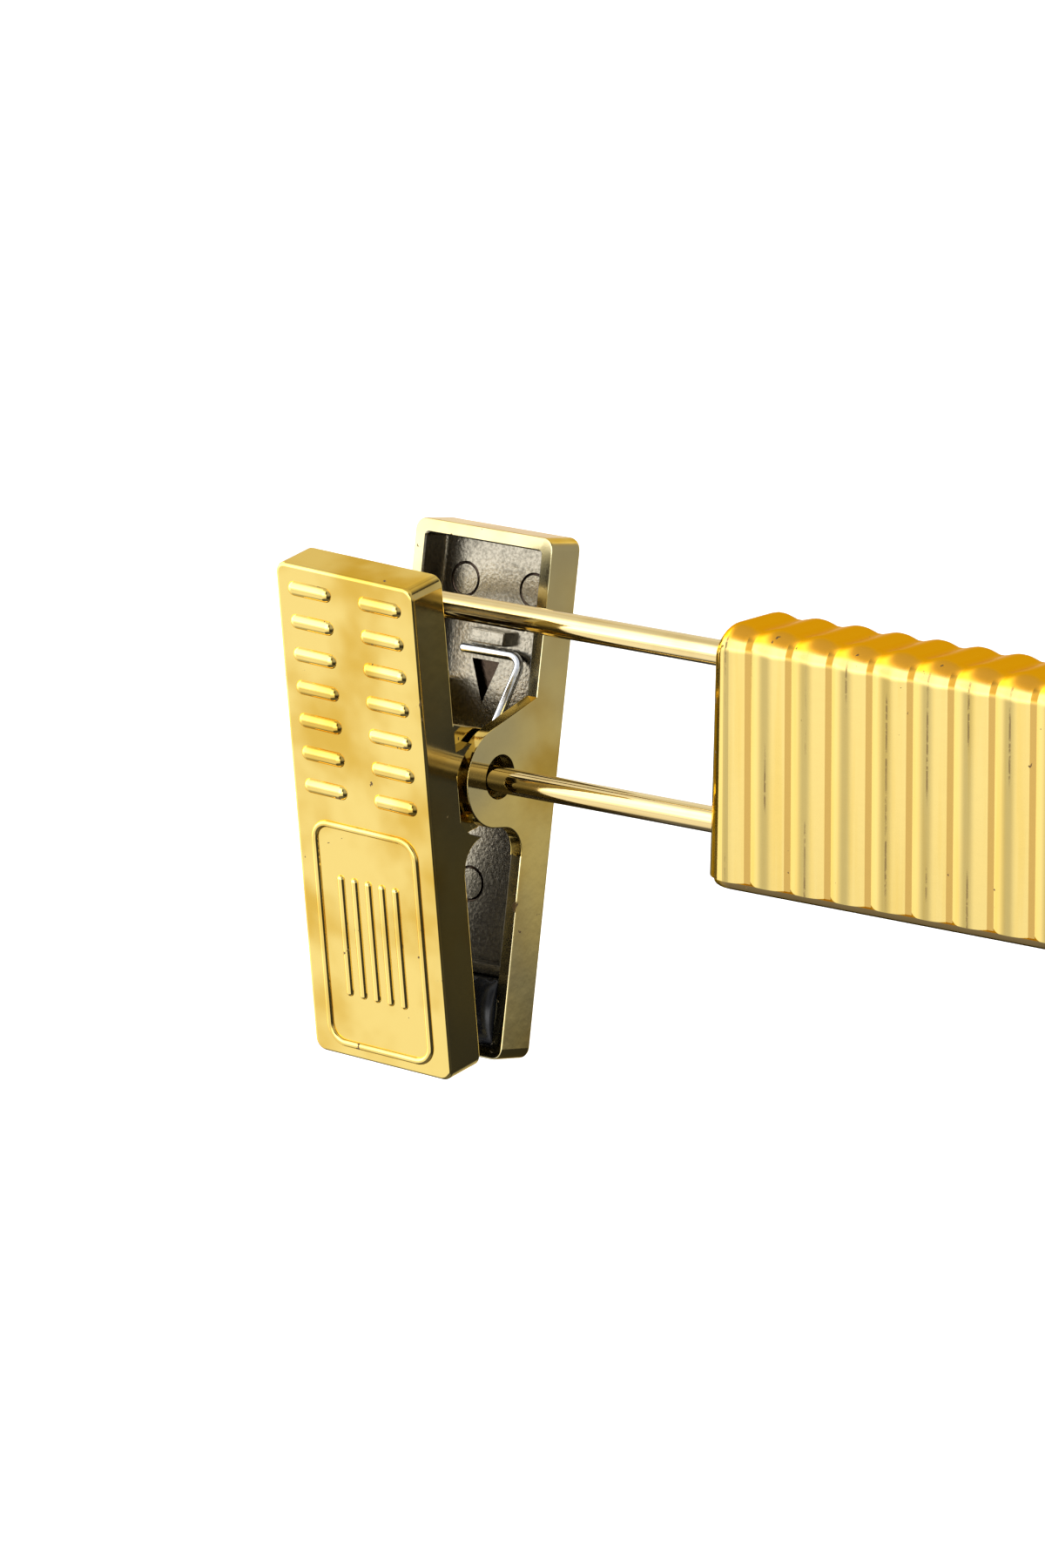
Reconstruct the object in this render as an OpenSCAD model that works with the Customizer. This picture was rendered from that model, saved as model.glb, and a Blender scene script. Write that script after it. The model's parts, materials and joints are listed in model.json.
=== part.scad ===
// Clip hanger: a ribbed bar under a swivelling hook, with two spring clips on wire loops.
// All sizes are in millimetres. The origin is the centre of the hook's bend.

/* [Bar] */
// Length of the ribbed bar
bar_len = 154.8; // [120:0.2:200]
// Depth of the bar, crest to crest
bar_depth = 12.2; // [12:0.2:20]
// Height of the bar with its base plate
bar_height = 30; // [29:0.5:40]
// Radius of the edges along the top
bar_edge_r = 3; // [2:0.1:4]
// Radius of the ends in plan
bar_plan_r = 5; // [4:0.1:5.8]
// Radius of the upper corners in front view
bar_corner_r = 5; // [3:0.5:9]
// Radius of the lower corners in front view
bar_foot_r = 2; // [1:0.25:4]
// Wall of the hollow cover, behind the rib valleys
bar_wall = 1.6; // [1.2:0.1:2.2]
// Pitch of the ribs
rib_pitch = 5.6; // [4:0.1:9]
// Height of the ribs, valley to crest
rib_rise = 0.5; // [0.4:0.05:1.2]
// Plain length at each end, up to the first valley
rib_margin = 7.4; // [7:0.2:16]
// Thickness of the base plate's rim
base_t = 0.9; // [0.6:0.1:2]
// Height of the base plate's plug inside the cover
plug_h = 1.7; // [1.2:0.1:2.4]

/* [Screws] */
// Diameter of a screw's thread
screw_d = 2.4; // [2:0.1:2.8]
// Diameter of its countersunk head
screw_head_d = 4.9; // [4.4:0.1:5.4]
// Length of a screw
screw_len = 9; // [6:0.5:10]
// Distance from the anchor's inner end to its screw
screw_inset = 5; // [4:0.5:8]
// Length of the cross recess
cross_len = 3.2; // [2:0.1:3.6]
// Width and depth of the cross recess
cross_w = 0.6; // [0.4:0.1:0.8]

/* [Wires] */
// Diameter of the loop wire
wire_d = 3; // [2.4:0.1:3.6]
// Distance between the two legs
wire_gap = 19.2; // [18:0.1:21]
// Height of the lower leg above the bar's underside
wire_low = 5.9; // [5.5:0.1:7]
// Bare length of wire between the bar and the clip
wire_show = 33.1; // [12:0.1:60]
// Bend radius at the outer end, on the wire's centre line
wire_bend_r = 5; // [4:0.25:8]
// Straight wire between the clip and the bend
bend_gap = 0.6; // [0.4:0.1:4]
// Length gripped inside the anchor
wire_grip = 19; // [12:0.5:22]
// Length of the anchor block
anchor_len = 30; // [27:0.5:36]

/* [Clip] */
// Width of the clip
clip_w = 20; // [18:0.5:26]
// Height of each clip half
clip_h = 60; // [57:0.5:66]
// Depth of each half, rim to outer face
clip_depth = 5.4; // [5:0.1:7]
// Wall of the half, and thickness of its ears
clip_wall = 1.6; // [1.3:0.1:2]
// Thickness of the half's floor
clip_floor = 1.6; // [1.4:0.1:2]
// Radius of the half's four corners in front view
clip_corner_r = 1.4; // [1:0.1:3]
// Radius of the outer edges
clip_edge_r = 0.5; // [0.3:0.1:1.4]
// Distance from the top edge down to the hinge hole
pivot_drop = 27.1; // [25:0.1:28]
// Distance from the rim out to the hinge hole
pivot_out = 5.35; // [5:0.05:6.5]
// Radius of the ear's nose about its hole
ear_r = 5.9; // [5:0.1:6.4]
// Diameter of the hinge hole, loose on the wire
ear_hole = 5.2; // [4.6:0.1:5.6]
// Height of the ear's root above the hole
ear_top = 9; // [7.5:0.1:10]
// Fillet under the ear
ear_fillet = 3.4; // [1:0.1:4]
// Gap between the lapped ears
ear_gap = 0.35; // [0.3:0.05:0.6]
// Gap round the nose of the other half's ear
nose_gap = 0.3; // [0.3:0.05:0.6]
// Width of the nub that stops the spring's tip
nub_w = 5.2; // [3:0.1:7]
// Height of the nub
nub_h = 1.7; // [1:0.1:2]
// How far the nub stands up from the floor
nub_rise = 1.5; // [1:0.1:1.8]
// Width of the three-cornered pocket under the spring's tip
pocket_w = 4; // [2:0.1:5]
// Height of the pocket
pocket_h = 5; // [3:0.1:6]
// Depth of the pocket
pocket_depth = 0.9; // [0.3:0.1:1.1]
// Thickness of the rib above the pad
pad_rib_t = 1.2; // [0.8:0.1:1.6]
// How far the rib stays behind the rim
pad_rib_back = 1.4; // [0.5:0.1:2]
// Gap between the closed jaw tips
tip_gap = 2; // [0.3:0.1:2.4]
// Roll of the left clip's front half, loose on its wire
front_roll = 2.1; // [0:0.1:3]

/* [Clip face] */
// Rows of grip bars
grip_rows = 7; // [4:1:7]
// Pitch of the rows
grip_pitch = 4; // [3:0.1:4.1]
// Length of a grip bar
grip_len = 6.4; // [4:0.1:7.5]
// Width of a grip bar
grip_w = 2; // [1.4:0.1:2.4]
// Distance between the two columns
grip_columns = 10.2; // [8:0.1:11]
// First row below the top edge
grip_first = 2.9; // [2:0.1:3.5]
// How far the grip bars stand up
grip_rise = 0.6; // [0.3:0.05:0.7]
// How far the bead and reeds stand up
bead_rise = 0.4; // [0.3:0.05:0.6]
// Width of the panel bead, outside
panel_w = 15.6; // [12:0.1:17]
// Height of the panel bead, outside
panel_h = 28; // [22:0.1:28.6]
// Bead's distance from the lower edge
panel_low = 1.3; // [1:0.1:2]
// Corner radius of the bead, outside
panel_r = 2.6; // [1.5:0.1:4]
// Width of the bead
bead_w = 0.9; // [0.6:0.1:1.6]
// Reeds inside the panel
reed_count = 5; // [3:1:6]
// Length of a reed
reed_len = 15; // [8:0.5:18]
// Pitch of the reeds
reed_pitch = 2; // [1.4:0.1:2.2]
// Width of a reed
reed_w = 1; // [0.6:0.1:1.2]

/* [Spring] */
// Diameter of the spring wire
spring_d = 1.1; // [0.8:0.1:1.2]
// Whole turns of the coil
spring_turns = 5; // [4:1:5]
// Gap between the coil and the loop wire
coil_gap = 0.35; // [0.3:0.05:0.6]
// Height of the arm's tip above the hinge
arm_reach = 12.8; // [11.5:0.1:13.5]
// Length of the bent tip
tip_len = 9.2; // [6:0.1:9.8]
// Radius of the tip's bend
tip_bend_r = 1.7; // [1.2:0.1:2.2]

/* [Pads] */
// Height of a rubber pad
pad_h = 7.6; // [6:0.1:9]
// Radius of the pad's crown
pad_crown_r = 7; // [6:0.25:12]
// Gap between the closed pads
pad_gap = 0.4; // [0.3:0.1:1]

/* [Hook] */
// Diameter of the hook wire
hook_d = 3.4; // [2.8:0.1:3.8]
// Radius of the hook's bend, on the wire's centre line
hook_r = 21.5; // [18:0.5:28]
// Straight stem between the bar and the first bend
hook_stem = 14; // [8:0.5:30]
// Turn of the first bend
hook_turn = 72; // [66:1:74]
// Straight link between the two bends
hook_link = 1.5; // [1:0.1:2]
// Where the hook's tip ends, counted from the right
hook_end = 205; // [180:1:225]
// Radial clearance of the turning stem
hook_play = 0.08; // [0.05:0.01:0.1]
// Thickness of the bush's flange
flange_t = 1.2; // [0.8:0.1:2]
// How far the flange reaches past the bush's tube
flange_rim = 1.5; // [1:0.1:1.6]
// Wall of the bush
bush_wall = 1.1; // [0.8:0.1:1.2]
// Height of the boss round the bush, inside the bar
boss_h = 2.5; // [1.5:0.1:4]
// Thickness of the washer
washer_t = 0.8; // [0.5:0.1:1.2]
// Height of the stop pressed on the stem
stop_h = 4; // [3:0.1:6]

/* [Hidden] */
$fn = 64;
eps = 0.5;
seat = 0.05;
ease = 0.02;

// Levels, counted from the centre of the hook's bend
turn_r = (hook_r * cos(hook_turn) - hook_link * sin(hook_turn)) / (1 - cos(hook_turn));
stem_z = -(hook_r + turn_r) * sin(hook_turn) - hook_link * cos(hook_turn);
bar_top = stem_z - hook_stem;
bar_low = bar_top - bar_height;
cover_low = bar_low + base_t;
low_z = bar_low + wire_low;
high_z = low_z + wire_gap;

// Bar
half_len = bar_len / 2;
half_depth = bar_depth / 2;
rib_count = floor((bar_len - 2 * rib_margin) / rib_pitch + 0.01) + 1;
first_valley = -(rib_count - 1) / 2 * rib_pitch;
crest_end = -first_valley + rib_pitch / 2;
rib_arc = pow(rib_pitch / 2, 2) / (4 * rib_rise) + rib_rise / 4;
valley_arc = 0.9 * rib_arc;
rib_mean = bar_edge_r - rib_rise / 2;
room_half = half_depth - rib_rise - bar_wall;
room_top = bar_top - rib_rise - bar_wall;
room_len = bar_len - 2 * (bar_wall + 1);
plug_top = cover_low + plug_h;
anchor_out = room_len / 2 - 0.2;
anchor_in = anchor_out - anchor_len;
wire_in = anchor_out - wire_grip;
screw_x = anchor_in + screw_inset;
screw_r = screw_d / 2;
screw_head_r = screw_head_d / 2;
screw_play = 0.1;

// Wire loops and clips
clip_x = half_len + wire_show + clip_w / 2;
bend_x = clip_x + clip_w / 2 + bend_gap;

// Clip half, in its own frame: hole at the origin, outer face towards +y, handle up
half_w = clip_w / 2;
jaw_len = clip_h - pivot_drop;
rim_y = pivot_out;
face_y = rim_y + clip_depth;
floor_y = face_y - clip_floor;
lap = clip_wall + ear_gap + ear_top * sin(front_roll);
ear_in = half_w - lap - clip_wall;
hole_play = (ear_hole - wire_d) / 2;
hole_off = sqrt(pow(hole_play, 2) - pow(half_w * sin(front_roll), 2)) - seat;
swing_r = sqrt(rim_y * rim_y + jaw_len * jaw_len);
tilt = acos((tip_gap / 2 - hole_off) / swing_r) - atan2(jaw_len, rim_y);
root_r = sqrt(rim_y * rim_y + ear_top * ear_top);
touch_a = atan2(ear_top, rim_y) + acos(ear_r / root_r);
slope_r = ear_r - 0.3;
shoulder_top = ear_r - 0.2;

// Pads
pad_low = -jaw_len + clip_wall + seat;
pad_mid = pad_low + pad_h / 2;
crown_y = ((pad_gap / 2 - hole_off) - pad_mid * sin(tilt) + pad_crown_r) / cos(tilt);
pad_rib = pad_low + pad_h + seat;

// Hook's bearing
bush_r = hook_d / 2 + hook_play;
tube_r = bush_r + bush_wall;
flange_r = tube_r + flange_rim;
boss_low = room_top - boss_h;
tube_low = boss_low - 0.6;
washer_r = min(room_half - 0.4, tube_r + 0.3);
washer_top = tube_low - 0.1;
stop_top = washer_top - washer_t - seat;
stop_r = washer_r - 0.2;

// Where two stretches of the hook's wire run into each other
weld = 0.4;
weld_r = hook_d / 2 + 0.04;

// Shared shapes

// Rectangle about the origin with four round corners
module round_rect(w, h, r) {
    square([w - 2 * r, h], center = true);
    square([w, h - 2 * r], center = true);
    for (sx = [-1, 1], sy = [-1, 1]) {
        translate([sx * (w / 2 - r), sy * (h / 2 - r)]) circle(r);
    }
}

// Round rod with ball ends, along z, centred
module capsule(r, l) {
    rotate_extrude() intersection() {
        union() {
            translate([0, -(l / 2 - r)]) square([r, l - 2 * r]);
            for (s = [-1, 1]) translate([0, s * (l / 2 - r)]) circle(r);
        }
        translate([0, -l]) square([r + 1, 2 * l]);
    }
}

// Rod along x from x0 to x1
module rod_x(x0, x1, r) {
    translate([x0, 0, 0]) rotate([0, 90, 0]) cylinder(r = r, h = x1 - x0);
}

// Extrusion along x of an outline drawn in y and z
module along_x(x0, x1) {
    translate([x0, 0, 0]) rotate([90, 0, 90]) linear_extrude(x1 - x0) children();
}

// Extrusion along y of an outline drawn in x and z
module along_y(y0, y1) {
    translate([0, y1, 0]) rotate([90, 0, 0]) linear_extrude(y1 - y0) children();
}

// Bar

// Ribbed edge: along the bar against height above the edge's centre line
module rib_profile(low) {
    intersection() {
        difference() {
            union() {
                translate([-bar_len, -eps]) square([2 * bar_len, rib_mean + eps]);
                for (s = [-1, 1]) {
                    translate([s > 0 ? crest_end : -bar_len, -eps])
                        square([bar_len - crest_end, bar_edge_r - ease + eps]);
                }
                for (i = [0 : rib_count]) {
                    translate([-crest_end + i * rib_pitch, bar_edge_r - rib_arc]) circle(rib_arc);
                }
            }
            for (i = [0 : rib_count - 1]) {
                translate([first_valley + i * rib_pitch, bar_edge_r - rib_rise + valley_arc]) circle(valley_arc);
            }
        }
        translate([-bar_len, low]) square([2 * bar_len, bar_edge_r - low + 1]);
    }
}

// Front outline of the bar, with its round corners
module bar_outline() {
    top = bar_top + ease;
    translate([-(half_len - bar_foot_r), bar_low]) square([bar_len - 2 * bar_foot_r, bar_foot_r]);
    translate([-half_len, bar_low + bar_foot_r]) square([bar_len, top - bar_low - bar_foot_r - bar_corner_r]);
    translate([-(half_len - bar_corner_r), top - bar_corner_r])
        square([bar_len - 2 * bar_corner_r, bar_corner_r]);
    for (s = [-1, 1]) {
        translate([s * (half_len - bar_foot_r), bar_low + bar_foot_r]) circle(bar_foot_r);
        translate([s * (half_len - bar_corner_r), top - bar_corner_r]) circle(bar_corner_r);
    }
}

// Ribs that climb the front, wrap over the top and go down the back
module ribbed_body() {
    core = half_depth - bar_edge_r;
    shoulder = bar_top - bar_edge_r;
    translate([-bar_len, -core, cover_low]) cube([2 * bar_len, 2 * core, shoulder - cover_low]);
    translate([0, core, cover_low]) linear_extrude(shoulder - cover_low) rib_profile(-eps);
    translate([0, -core, cover_low]) linear_extrude(shoulder - cover_low) mirror([0, 1]) rib_profile(-eps);
    translate([0, 0, shoulder]) along_y(-core, core) rib_profile(-eps);
    for (a = [90, 180]) {
        translate([0, a == 90 ? core : -core, shoulder]) rotate([a, 0, 0]) rotate([0, 90, 0])
            rotate_extrude(angle = 90) rotate(-90) rib_profile(0);
    }
}

module bar_cover() {
    color("goldenrod") difference() {
        union() {
            difference() {
                intersection() {
                    ribbed_body();
                    along_y(-bar_depth, bar_depth) bar_outline();
                    translate([0, 0, bar_low - 1]) linear_extrude(bar_height + 2)
                        round_rect(bar_len + 2 * ease, bar_depth + 2 * ease, bar_plan_r);
                }
                translate([-room_len / 2, -room_half, cover_low - 1])
                    cube([room_len, 2 * room_half, room_top - cover_low + 1]);
            }
            translate([0, 0, boss_low]) intersection() {
                cylinder(r = flange_r + 0.6, h = room_top - boss_low + eps);
                translate([-bar_len, -(room_half + eps), -1]) cube([2 * bar_len, 2 * (room_half + eps), bar_height]);
            }
        }
        translate([0, 0, bar_top - rib_rise]) cylinder(r = flange_r + seat, h = bar_height);
        translate([0, 0, boss_low - 1]) cylinder(r = tube_r + seat, h = bar_height);
        for (z = [low_z, high_z], s = [0, 1]) {
            mirror([s, 0, 0]) translate([0, 0, z]) rod_x(wire_in, half_len + 2, wire_d / 2 + seat);
        }
    }
}

// Cone of a countersunk hole, from its mouth upwards
module countersink(r) {
    cylinder(r1 = r, r2 = screw_r + screw_play, h = r - screw_r - screw_play);
}

module bar_base() {
    color("darkgoldenrod") difference() {
        union() {
            intersection() {
                translate([0, 0, bar_low]) linear_extrude(base_t) round_rect(bar_len, bar_depth, bar_plan_r);
                along_y(-bar_depth, bar_depth) bar_outline();
            }
            translate([-(room_len / 2 - 0.15), -(room_half - 0.15), cover_low - 0.2])
                cube([room_len - 0.3, 2 * room_half - 0.3, plug_h + 0.2]);
        }
        for (s = [-1, 1]) {
            translate([s * screw_x, 0, bar_low - 1]) cylinder(r = screw_r + screw_play, h = bar_height);
            translate([s * screw_x, 0, bar_low - 0.01]) countersink(screw_head_r + seat + screw_play);
        }
    }
}

module base_screws() {
    color("silver") for (s = [-1, 1]) {
        translate([s * screw_x, 0, bar_low + 0.05]) difference() {
            union() {
                cylinder(r1 = screw_head_r, r2 = screw_r, h = screw_head_r - screw_r);
                cylinder(r = screw_r, h = screw_len);
            }
            for (a = [0, 90]) rotate(a) cube([cross_len, cross_w, 2 * cross_w], center = true);
        }
    }
}

module wire_anchor() {
    difference() {
        translate([anchor_in, -(room_half - 0.15), plug_top + 0.02])
            cube([anchor_len, 2 * room_half - 0.3, room_top - plug_top - 0.2]);
        for (z = [low_z, high_z]) {
            translate([0, 0, z]) rod_x(wire_in - 0.2, anchor_out + 1, wire_d / 2 + 0.02);
        }
        translate([screw_x, 0, bar_low]) cylinder(r = screw_r + 0.02, h = screw_len + 0.6);
    }
}

module left_wire_anchor() { color("dimgray") mirror([1, 0, 0]) wire_anchor(); }
module right_wire_anchor() { color("dimgray") wire_anchor(); }

// Two legs and the bend that joins them, on the +x side
module wire_loop() {
    for (z = [low_z, high_z]) translate([0, 0, z]) rod_x(wire_in, bend_x, wire_d / 2);
    translate([bend_x + wire_bend_r, 0, low_z + wire_bend_r])
        cylinder(d = wire_d, h = wire_gap - 2 * wire_bend_r);
    for (up = [0, 1]) {
        translate([bend_x, 0, up == 1 ? high_z - wire_bend_r : low_z + wire_bend_r])
            rotate([90, up == 1 ? 0 : 90, 0]) rotate_extrude(angle = 90)
            translate([wire_bend_r, 0]) circle(d = wire_d);
    }
}

module left_wire_loop() { color("gold") mirror([1, 0, 0]) wire_loop(); }
module right_wire_loop() { color("gold") wire_loop(); }

// Clip

// Side outline of an ear, in y and z about its hole
module ear_outline() {
    circle(ear_r);
    difference() {
        polygon([
            [0, 0], [slope_r * cos(touch_a), slope_r * sin(touch_a)], [rim_y, ear_top],
            [floor_y + eps, ear_top], [floor_y + eps, -ear_r - ear_fillet],
            [rim_y, -ear_r - ear_fillet], [rim_y - ear_fillet, -ear_r], [0, -ear_r]
        ]);
        translate([rim_y - ear_fillet, -ear_r - ear_fillet]) circle(ear_fillet);
    }
}

// Outside of the half: three outlines that meet in round edges
module half_outside() {
    mid = (pivot_drop - jaw_len) / 2;
    intersection() {
        translate([0, 0, mid]) along_y(rim_y, face_y) round_rect(clip_w, clip_h, clip_corner_r);
        along_x(-clip_w, clip_w) {
            translate([rim_y, -jaw_len]) square([clip_depth - clip_edge_r, clip_h]);
            translate([rim_y, -jaw_len + clip_edge_r]) square([clip_depth, clip_h - 2 * clip_edge_r]);
            for (z = [-jaw_len + clip_edge_r, pivot_drop - clip_edge_r]) {
                translate([face_y - clip_edge_r, z]) circle(clip_edge_r);
            }
        }
        translate([0, 0, -clip_h]) linear_extrude(2 * clip_h) {
            translate([-half_w, rim_y]) square([clip_w, clip_depth - clip_edge_r]);
            translate([-half_w + clip_edge_r, rim_y]) square([clip_w - 2 * clip_edge_r, clip_depth]);
            for (s = [-1, 1]) translate([s * (half_w - clip_edge_r), face_y - clip_edge_r]) circle(clip_edge_r);
        }
    }
}

// Grip bars, bead and reeds of the outer face
module face_relief() {
    r = grip_w / 2;
    for (row = [0 : grip_rows - 1], s = [-1, 1]) {
        translate([s * grip_columns / 2, face_y + grip_rise - r, pivot_drop - grip_first - row * grip_pitch])
            rotate([0, 90, 0]) capsule(r, grip_len);
    }
    panel_z = -jaw_len + panel_low + panel_h / 2;
    translate([0, 0, panel_z]) along_y(face_y - 0.3, face_y + bead_rise) difference() {
        round_rect(panel_w, panel_h, panel_r);
        round_rect(panel_w - 2 * bead_w, panel_h - 2 * bead_w, panel_r - bead_w);
    }
    for (i = [0 : reed_count - 1]) {
        translate([(i - (reed_count - 1) / 2) * reed_pitch, face_y + bead_rise - reed_w / 2, panel_z])
            capsule(reed_w / 2, reed_len);
    }
}

// One clip half: both halves of a clip are this same moulding
module clip_half() {
    nub_z = arm_reach + spring_d / 2 + 0.3;
    difference() {
        union() {
            difference() {
                half_outside();
                translate([0, 0, (pivot_drop - jaw_len) / 2]) along_y(rim_y - 1, floor_y)
                    square([clip_w - 2 * clip_wall, clip_h - 2 * clip_wall], center = true);
            }
            along_x(half_w - clip_wall, half_w) ear_outline();
            along_x(-half_w + lap, -ear_in) ear_outline();
            along_x(-half_w, -half_w + clip_wall) difference() {
                ear_outline();
                circle(ear_r + nose_gap);
                translate([rim_y - clip_h, shoulder_top]) square(clip_h);
            }
            along_x(-half_w + clip_wall - 0.2, -half_w + lap + 0.2)
                translate([rim_y, -ear_r - ear_fillet])
                square([floor_y + eps - rim_y, ear_top + ear_r + ear_fillet]);
            translate([-nub_w / 2, floor_y - nub_rise, nub_z]) cube([nub_w, nub_rise + eps, nub_h]);
            translate([-half_w + eps, rim_y + pad_rib_back, pad_rib])
                cube([clip_w - 2 * eps, floor_y + eps - rim_y - pad_rib_back, pad_rib_t]);
            face_relief();
        }
        rotate([0, 90, 0]) cylinder(d = ear_hole, h = 2 * clip_w, center = true);
        translate([-0.9, 0, arm_reach - spring_d]) along_y(floor_y - eps, floor_y + pocket_depth)
            polygon([[-pocket_w / 2, 0], [pocket_w / 2, 0], [0, -pocket_h]]);
    }
}

// Rubber pad in the tip of a half
module clip_pad() {
    along_x(-(half_w - clip_wall - seat), half_w - clip_wall - seat) intersection() {
        translate([0, pad_low]) square([floor_y - 0.02, pad_h]);
        translate([crown_y, pad_mid]) circle(pad_crown_r);
        translate([rim_y - clip_depth, pad_low]) square([2 * clip_depth, pad_h]);
    }
}

// Places a rear half, leaning back from the wire
module rear_side() {
    translate([0, hole_off, 0]) rotate([-tilt, 0, 0]) children();
}

// Places a front half: the rear one turned half round, and rolled in its loose holes
module front_side(roll = 0) {
    rotate([0, roll, 0]) rotate([0, 0, 180]) rear_side() children();
}

module at_clip(side) {
    translate([side * clip_x, 0, low_z]) children();
}

module left_front_jaw() { color("gold") at_clip(-1) front_side(front_roll) clip_half(); }
module left_rear_jaw() { color("gold") at_clip(-1) rear_side() clip_half(); }
module left_front_pad() { color("black") at_clip(-1) front_side(front_roll) clip_pad(); }
module left_rear_pad() { color("black") at_clip(-1) rear_side() clip_pad(); }
module right_front_jaw() { color("gold") at_clip(1) front_side() clip_half(); }
module right_rear_jaw() { color("gold") at_clip(1) rear_side() clip_half(); }
module right_front_pad() { color("black") at_clip(1) front_side() clip_pad(); }
module right_rear_pad() { color("black") at_clip(1) rear_side() clip_pad(); }

// Spring: one wire from the front tip, down the front arm, round the coil and up the rear arm
coil_r = wire_d / 2 + coil_gap + spring_d / 2;
coil_half = ear_in - spring_d / 2 - 0.5;
arm_y = floor_y - spring_d / 2 - 0.3;
arm_end = [hole_off + arm_y * cos(tilt) + arm_reach * sin(tilt), -arm_y * sin(tilt) + arm_reach * cos(tilt)];
arm_far = norm(arm_end);
leave_a = atan2(arm_end[1], arm_end[0]) - acos(coil_r / arm_far);
leave_p = coil_r * [cos(leave_a), sin(leave_a)];
arm_dir = (arm_end - leave_p) / norm(arm_end - leave_p);
coil_sweep = 180 + 2 * leave_a + 360 * spring_turns;
coil_steps = ceil(coil_sweep / 45);

function coil_at(u) = let (a = 180 - leave_a + coil_sweep * u)
    [coil_half * (2 * u - 1), coil_r * cos(a), coil_r * sin(a)];
function arm_at(d) = [coil_half, leave_p[0] + d * arm_dir[0], leave_p[1] + d * arm_dir[1]];
arm_run = norm(arm_end - leave_p) - tip_bend_r;
function bend_at(a) = let (d = arm_run + tip_bend_r * sin(a), p = arm_at(d))
    [p[0] - tip_bend_r * (1 - cos(a)), p[1], p[2]];
tip_at = [coil_half - tip_len, arm_end[0], arm_end[1]];
rear_way = concat(
    [for (i = [1 : 3]) arm_at(arm_run * i / 4)],
    [for (a = [0 : 22.5 : 90]) bend_at(a)],
    [tip_at + [spring_d, 0, 0], tip_at]);
function turned(p) = [-p[0], -p[1], p[2]];
spring_way = concat(
    [for (i = [len(rear_way) - 1 : -1 : 0]) turned(rear_way[i])],
    [for (i = [0 : coil_steps]) coil_at(i / coil_steps)],
    rear_way);
spring_n = len(spring_way);

// Least gap of the spring to itself, measured between points that are apart along the wire
spring_steps = [for (i = [0 : spring_n - 2]) norm(spring_way[i + 1] - spring_way[i])];
function run_to(i) = i == 0 ? 0 : run_to(i - 1) + spring_steps[i - 1];
spring_runs = [for (i = [0 : spring_n - 1]) run_to(i)];
spring_gap = min([for (i = [0 : spring_n - 2], j = [i + 1 : spring_n - 1])
    if (spring_runs[j] - spring_runs[i] > 4 * spring_d) norm(spring_way[i] - spring_way[j])]) - spring_d;
echo("spring, least gap to itself in mm", spring_gap);

function unit(v) = v / norm(v);
spring_dirs = [for (i = [0 : spring_n - 1])
    unit(spring_way[min(i + 1, spring_n - 1)] - spring_way[max(i - 1, 0)])];
function squared(n, t) = unit(n - (n * t) * t);
spring_norms = [for (i = 0, n = squared([0, 0, 1], spring_dirs[0]); i < spring_n;
    i = i + 1, n = i < spring_n ? squared(n, spring_dirs[i]) : n) n];

// Round tube of six sides swept along the spring's way
module spring_tube() {
    r = spring_d / 2;
    points = [for (i = [0 : spring_n - 1], k = [0 : 5])
        let (t = spring_dirs[i], n = spring_norms[i], b = cross(t, n))
        spring_way[i] + r * (cos(60 * k) * n + sin(60 * k) * b)];
    sides = [for (i = [0 : spring_n - 2], k = [0 : 5], half = [0, 1])
        let (a = 6 * i + k, b = 6 * i + (k + 1) % 6)
        half == 0 ? [a, b, b + 6] : [a, b + 6, a + 6]];
    last = 6 * (spring_n - 1);
    ends = [for (k = [1 : 4], e = [0, 1]) e == 0 ? [0, k + 1, k] : [last, last + k, last + k + 1]];
    polyhedron(points, [for (f = concat(sides, ends)) [f[0], f[2], f[1]]]);
}

module left_spring() { color("silver") at_clip(-1) spring_tube(); }
module right_spring() { color("silver") at_clip(1) spring_tube(); }

// Hook

// Wire bent in a circle about y, from angle a0 to a1 counted from +x towards +z
module wire_arc(r, a0, a1) {
    rotate([90, 0, 0]) rotate([0, 0, a0]) rotate_extrude(angle = a1 - a0) translate([r, 0]) circle(d = hook_d);
}

module hook() {
    stem_low = stop_top - stop_h - 0.6;
    color("gold") {
        wire_arc(hook_r, -hook_turn, hook_end);
        translate([turn_r, 0, stem_z]) wire_arc(turn_r, 180 - hook_turn, 180);
        translate([0, 0, stem_low]) cylinder(d = hook_d, h = stem_z - stem_low);
        translate([0, 0, stem_z - weld]) cylinder(r = weld_r, h = 2 * weld);
        translate([turn_r * (1 - cos(hook_turn)), 0, stem_z + turn_r * sin(hook_turn)])
            rotate([0, hook_turn, 0]) translate([0, 0, -weld]) cylinder(r = weld_r, h = hook_link + 2 * weld);
        translate([hook_r * cos(hook_end), 0, hook_r * sin(hook_end)]) sphere(r = weld_r);
    }
}

module hook_bush() {
    color("goldenrod") difference() {
        union() {
            translate([0, 0, bar_top - rib_rise]) cylinder(r = flange_r, h = flange_t);
            translate([0, 0, tube_low]) cylinder(r = tube_r, h = bar_top - rib_rise - tube_low + 0.2);
        }
        translate([0, 0, tube_low - 1]) cylinder(r = bush_r, h = bar_height);
    }
}

module hook_washer() {
    color("silver") translate([0, 0, washer_top - washer_t]) difference() {
        cylinder(r = washer_r, h = washer_t);
        translate([0, 0, -1]) cylinder(r = hook_d / 2 + 0.05, h = washer_t + 2);
    }
}

module hook_stop() {
    color("silver") translate([0, 0, stop_top - stop_h]) difference() {
        cylinder(r = stop_r, h = stop_h);
        translate([0, 0, -1]) cylinder(r = hook_d / 2 + 0.01, h = stop_h + 2);
    }
}

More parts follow.
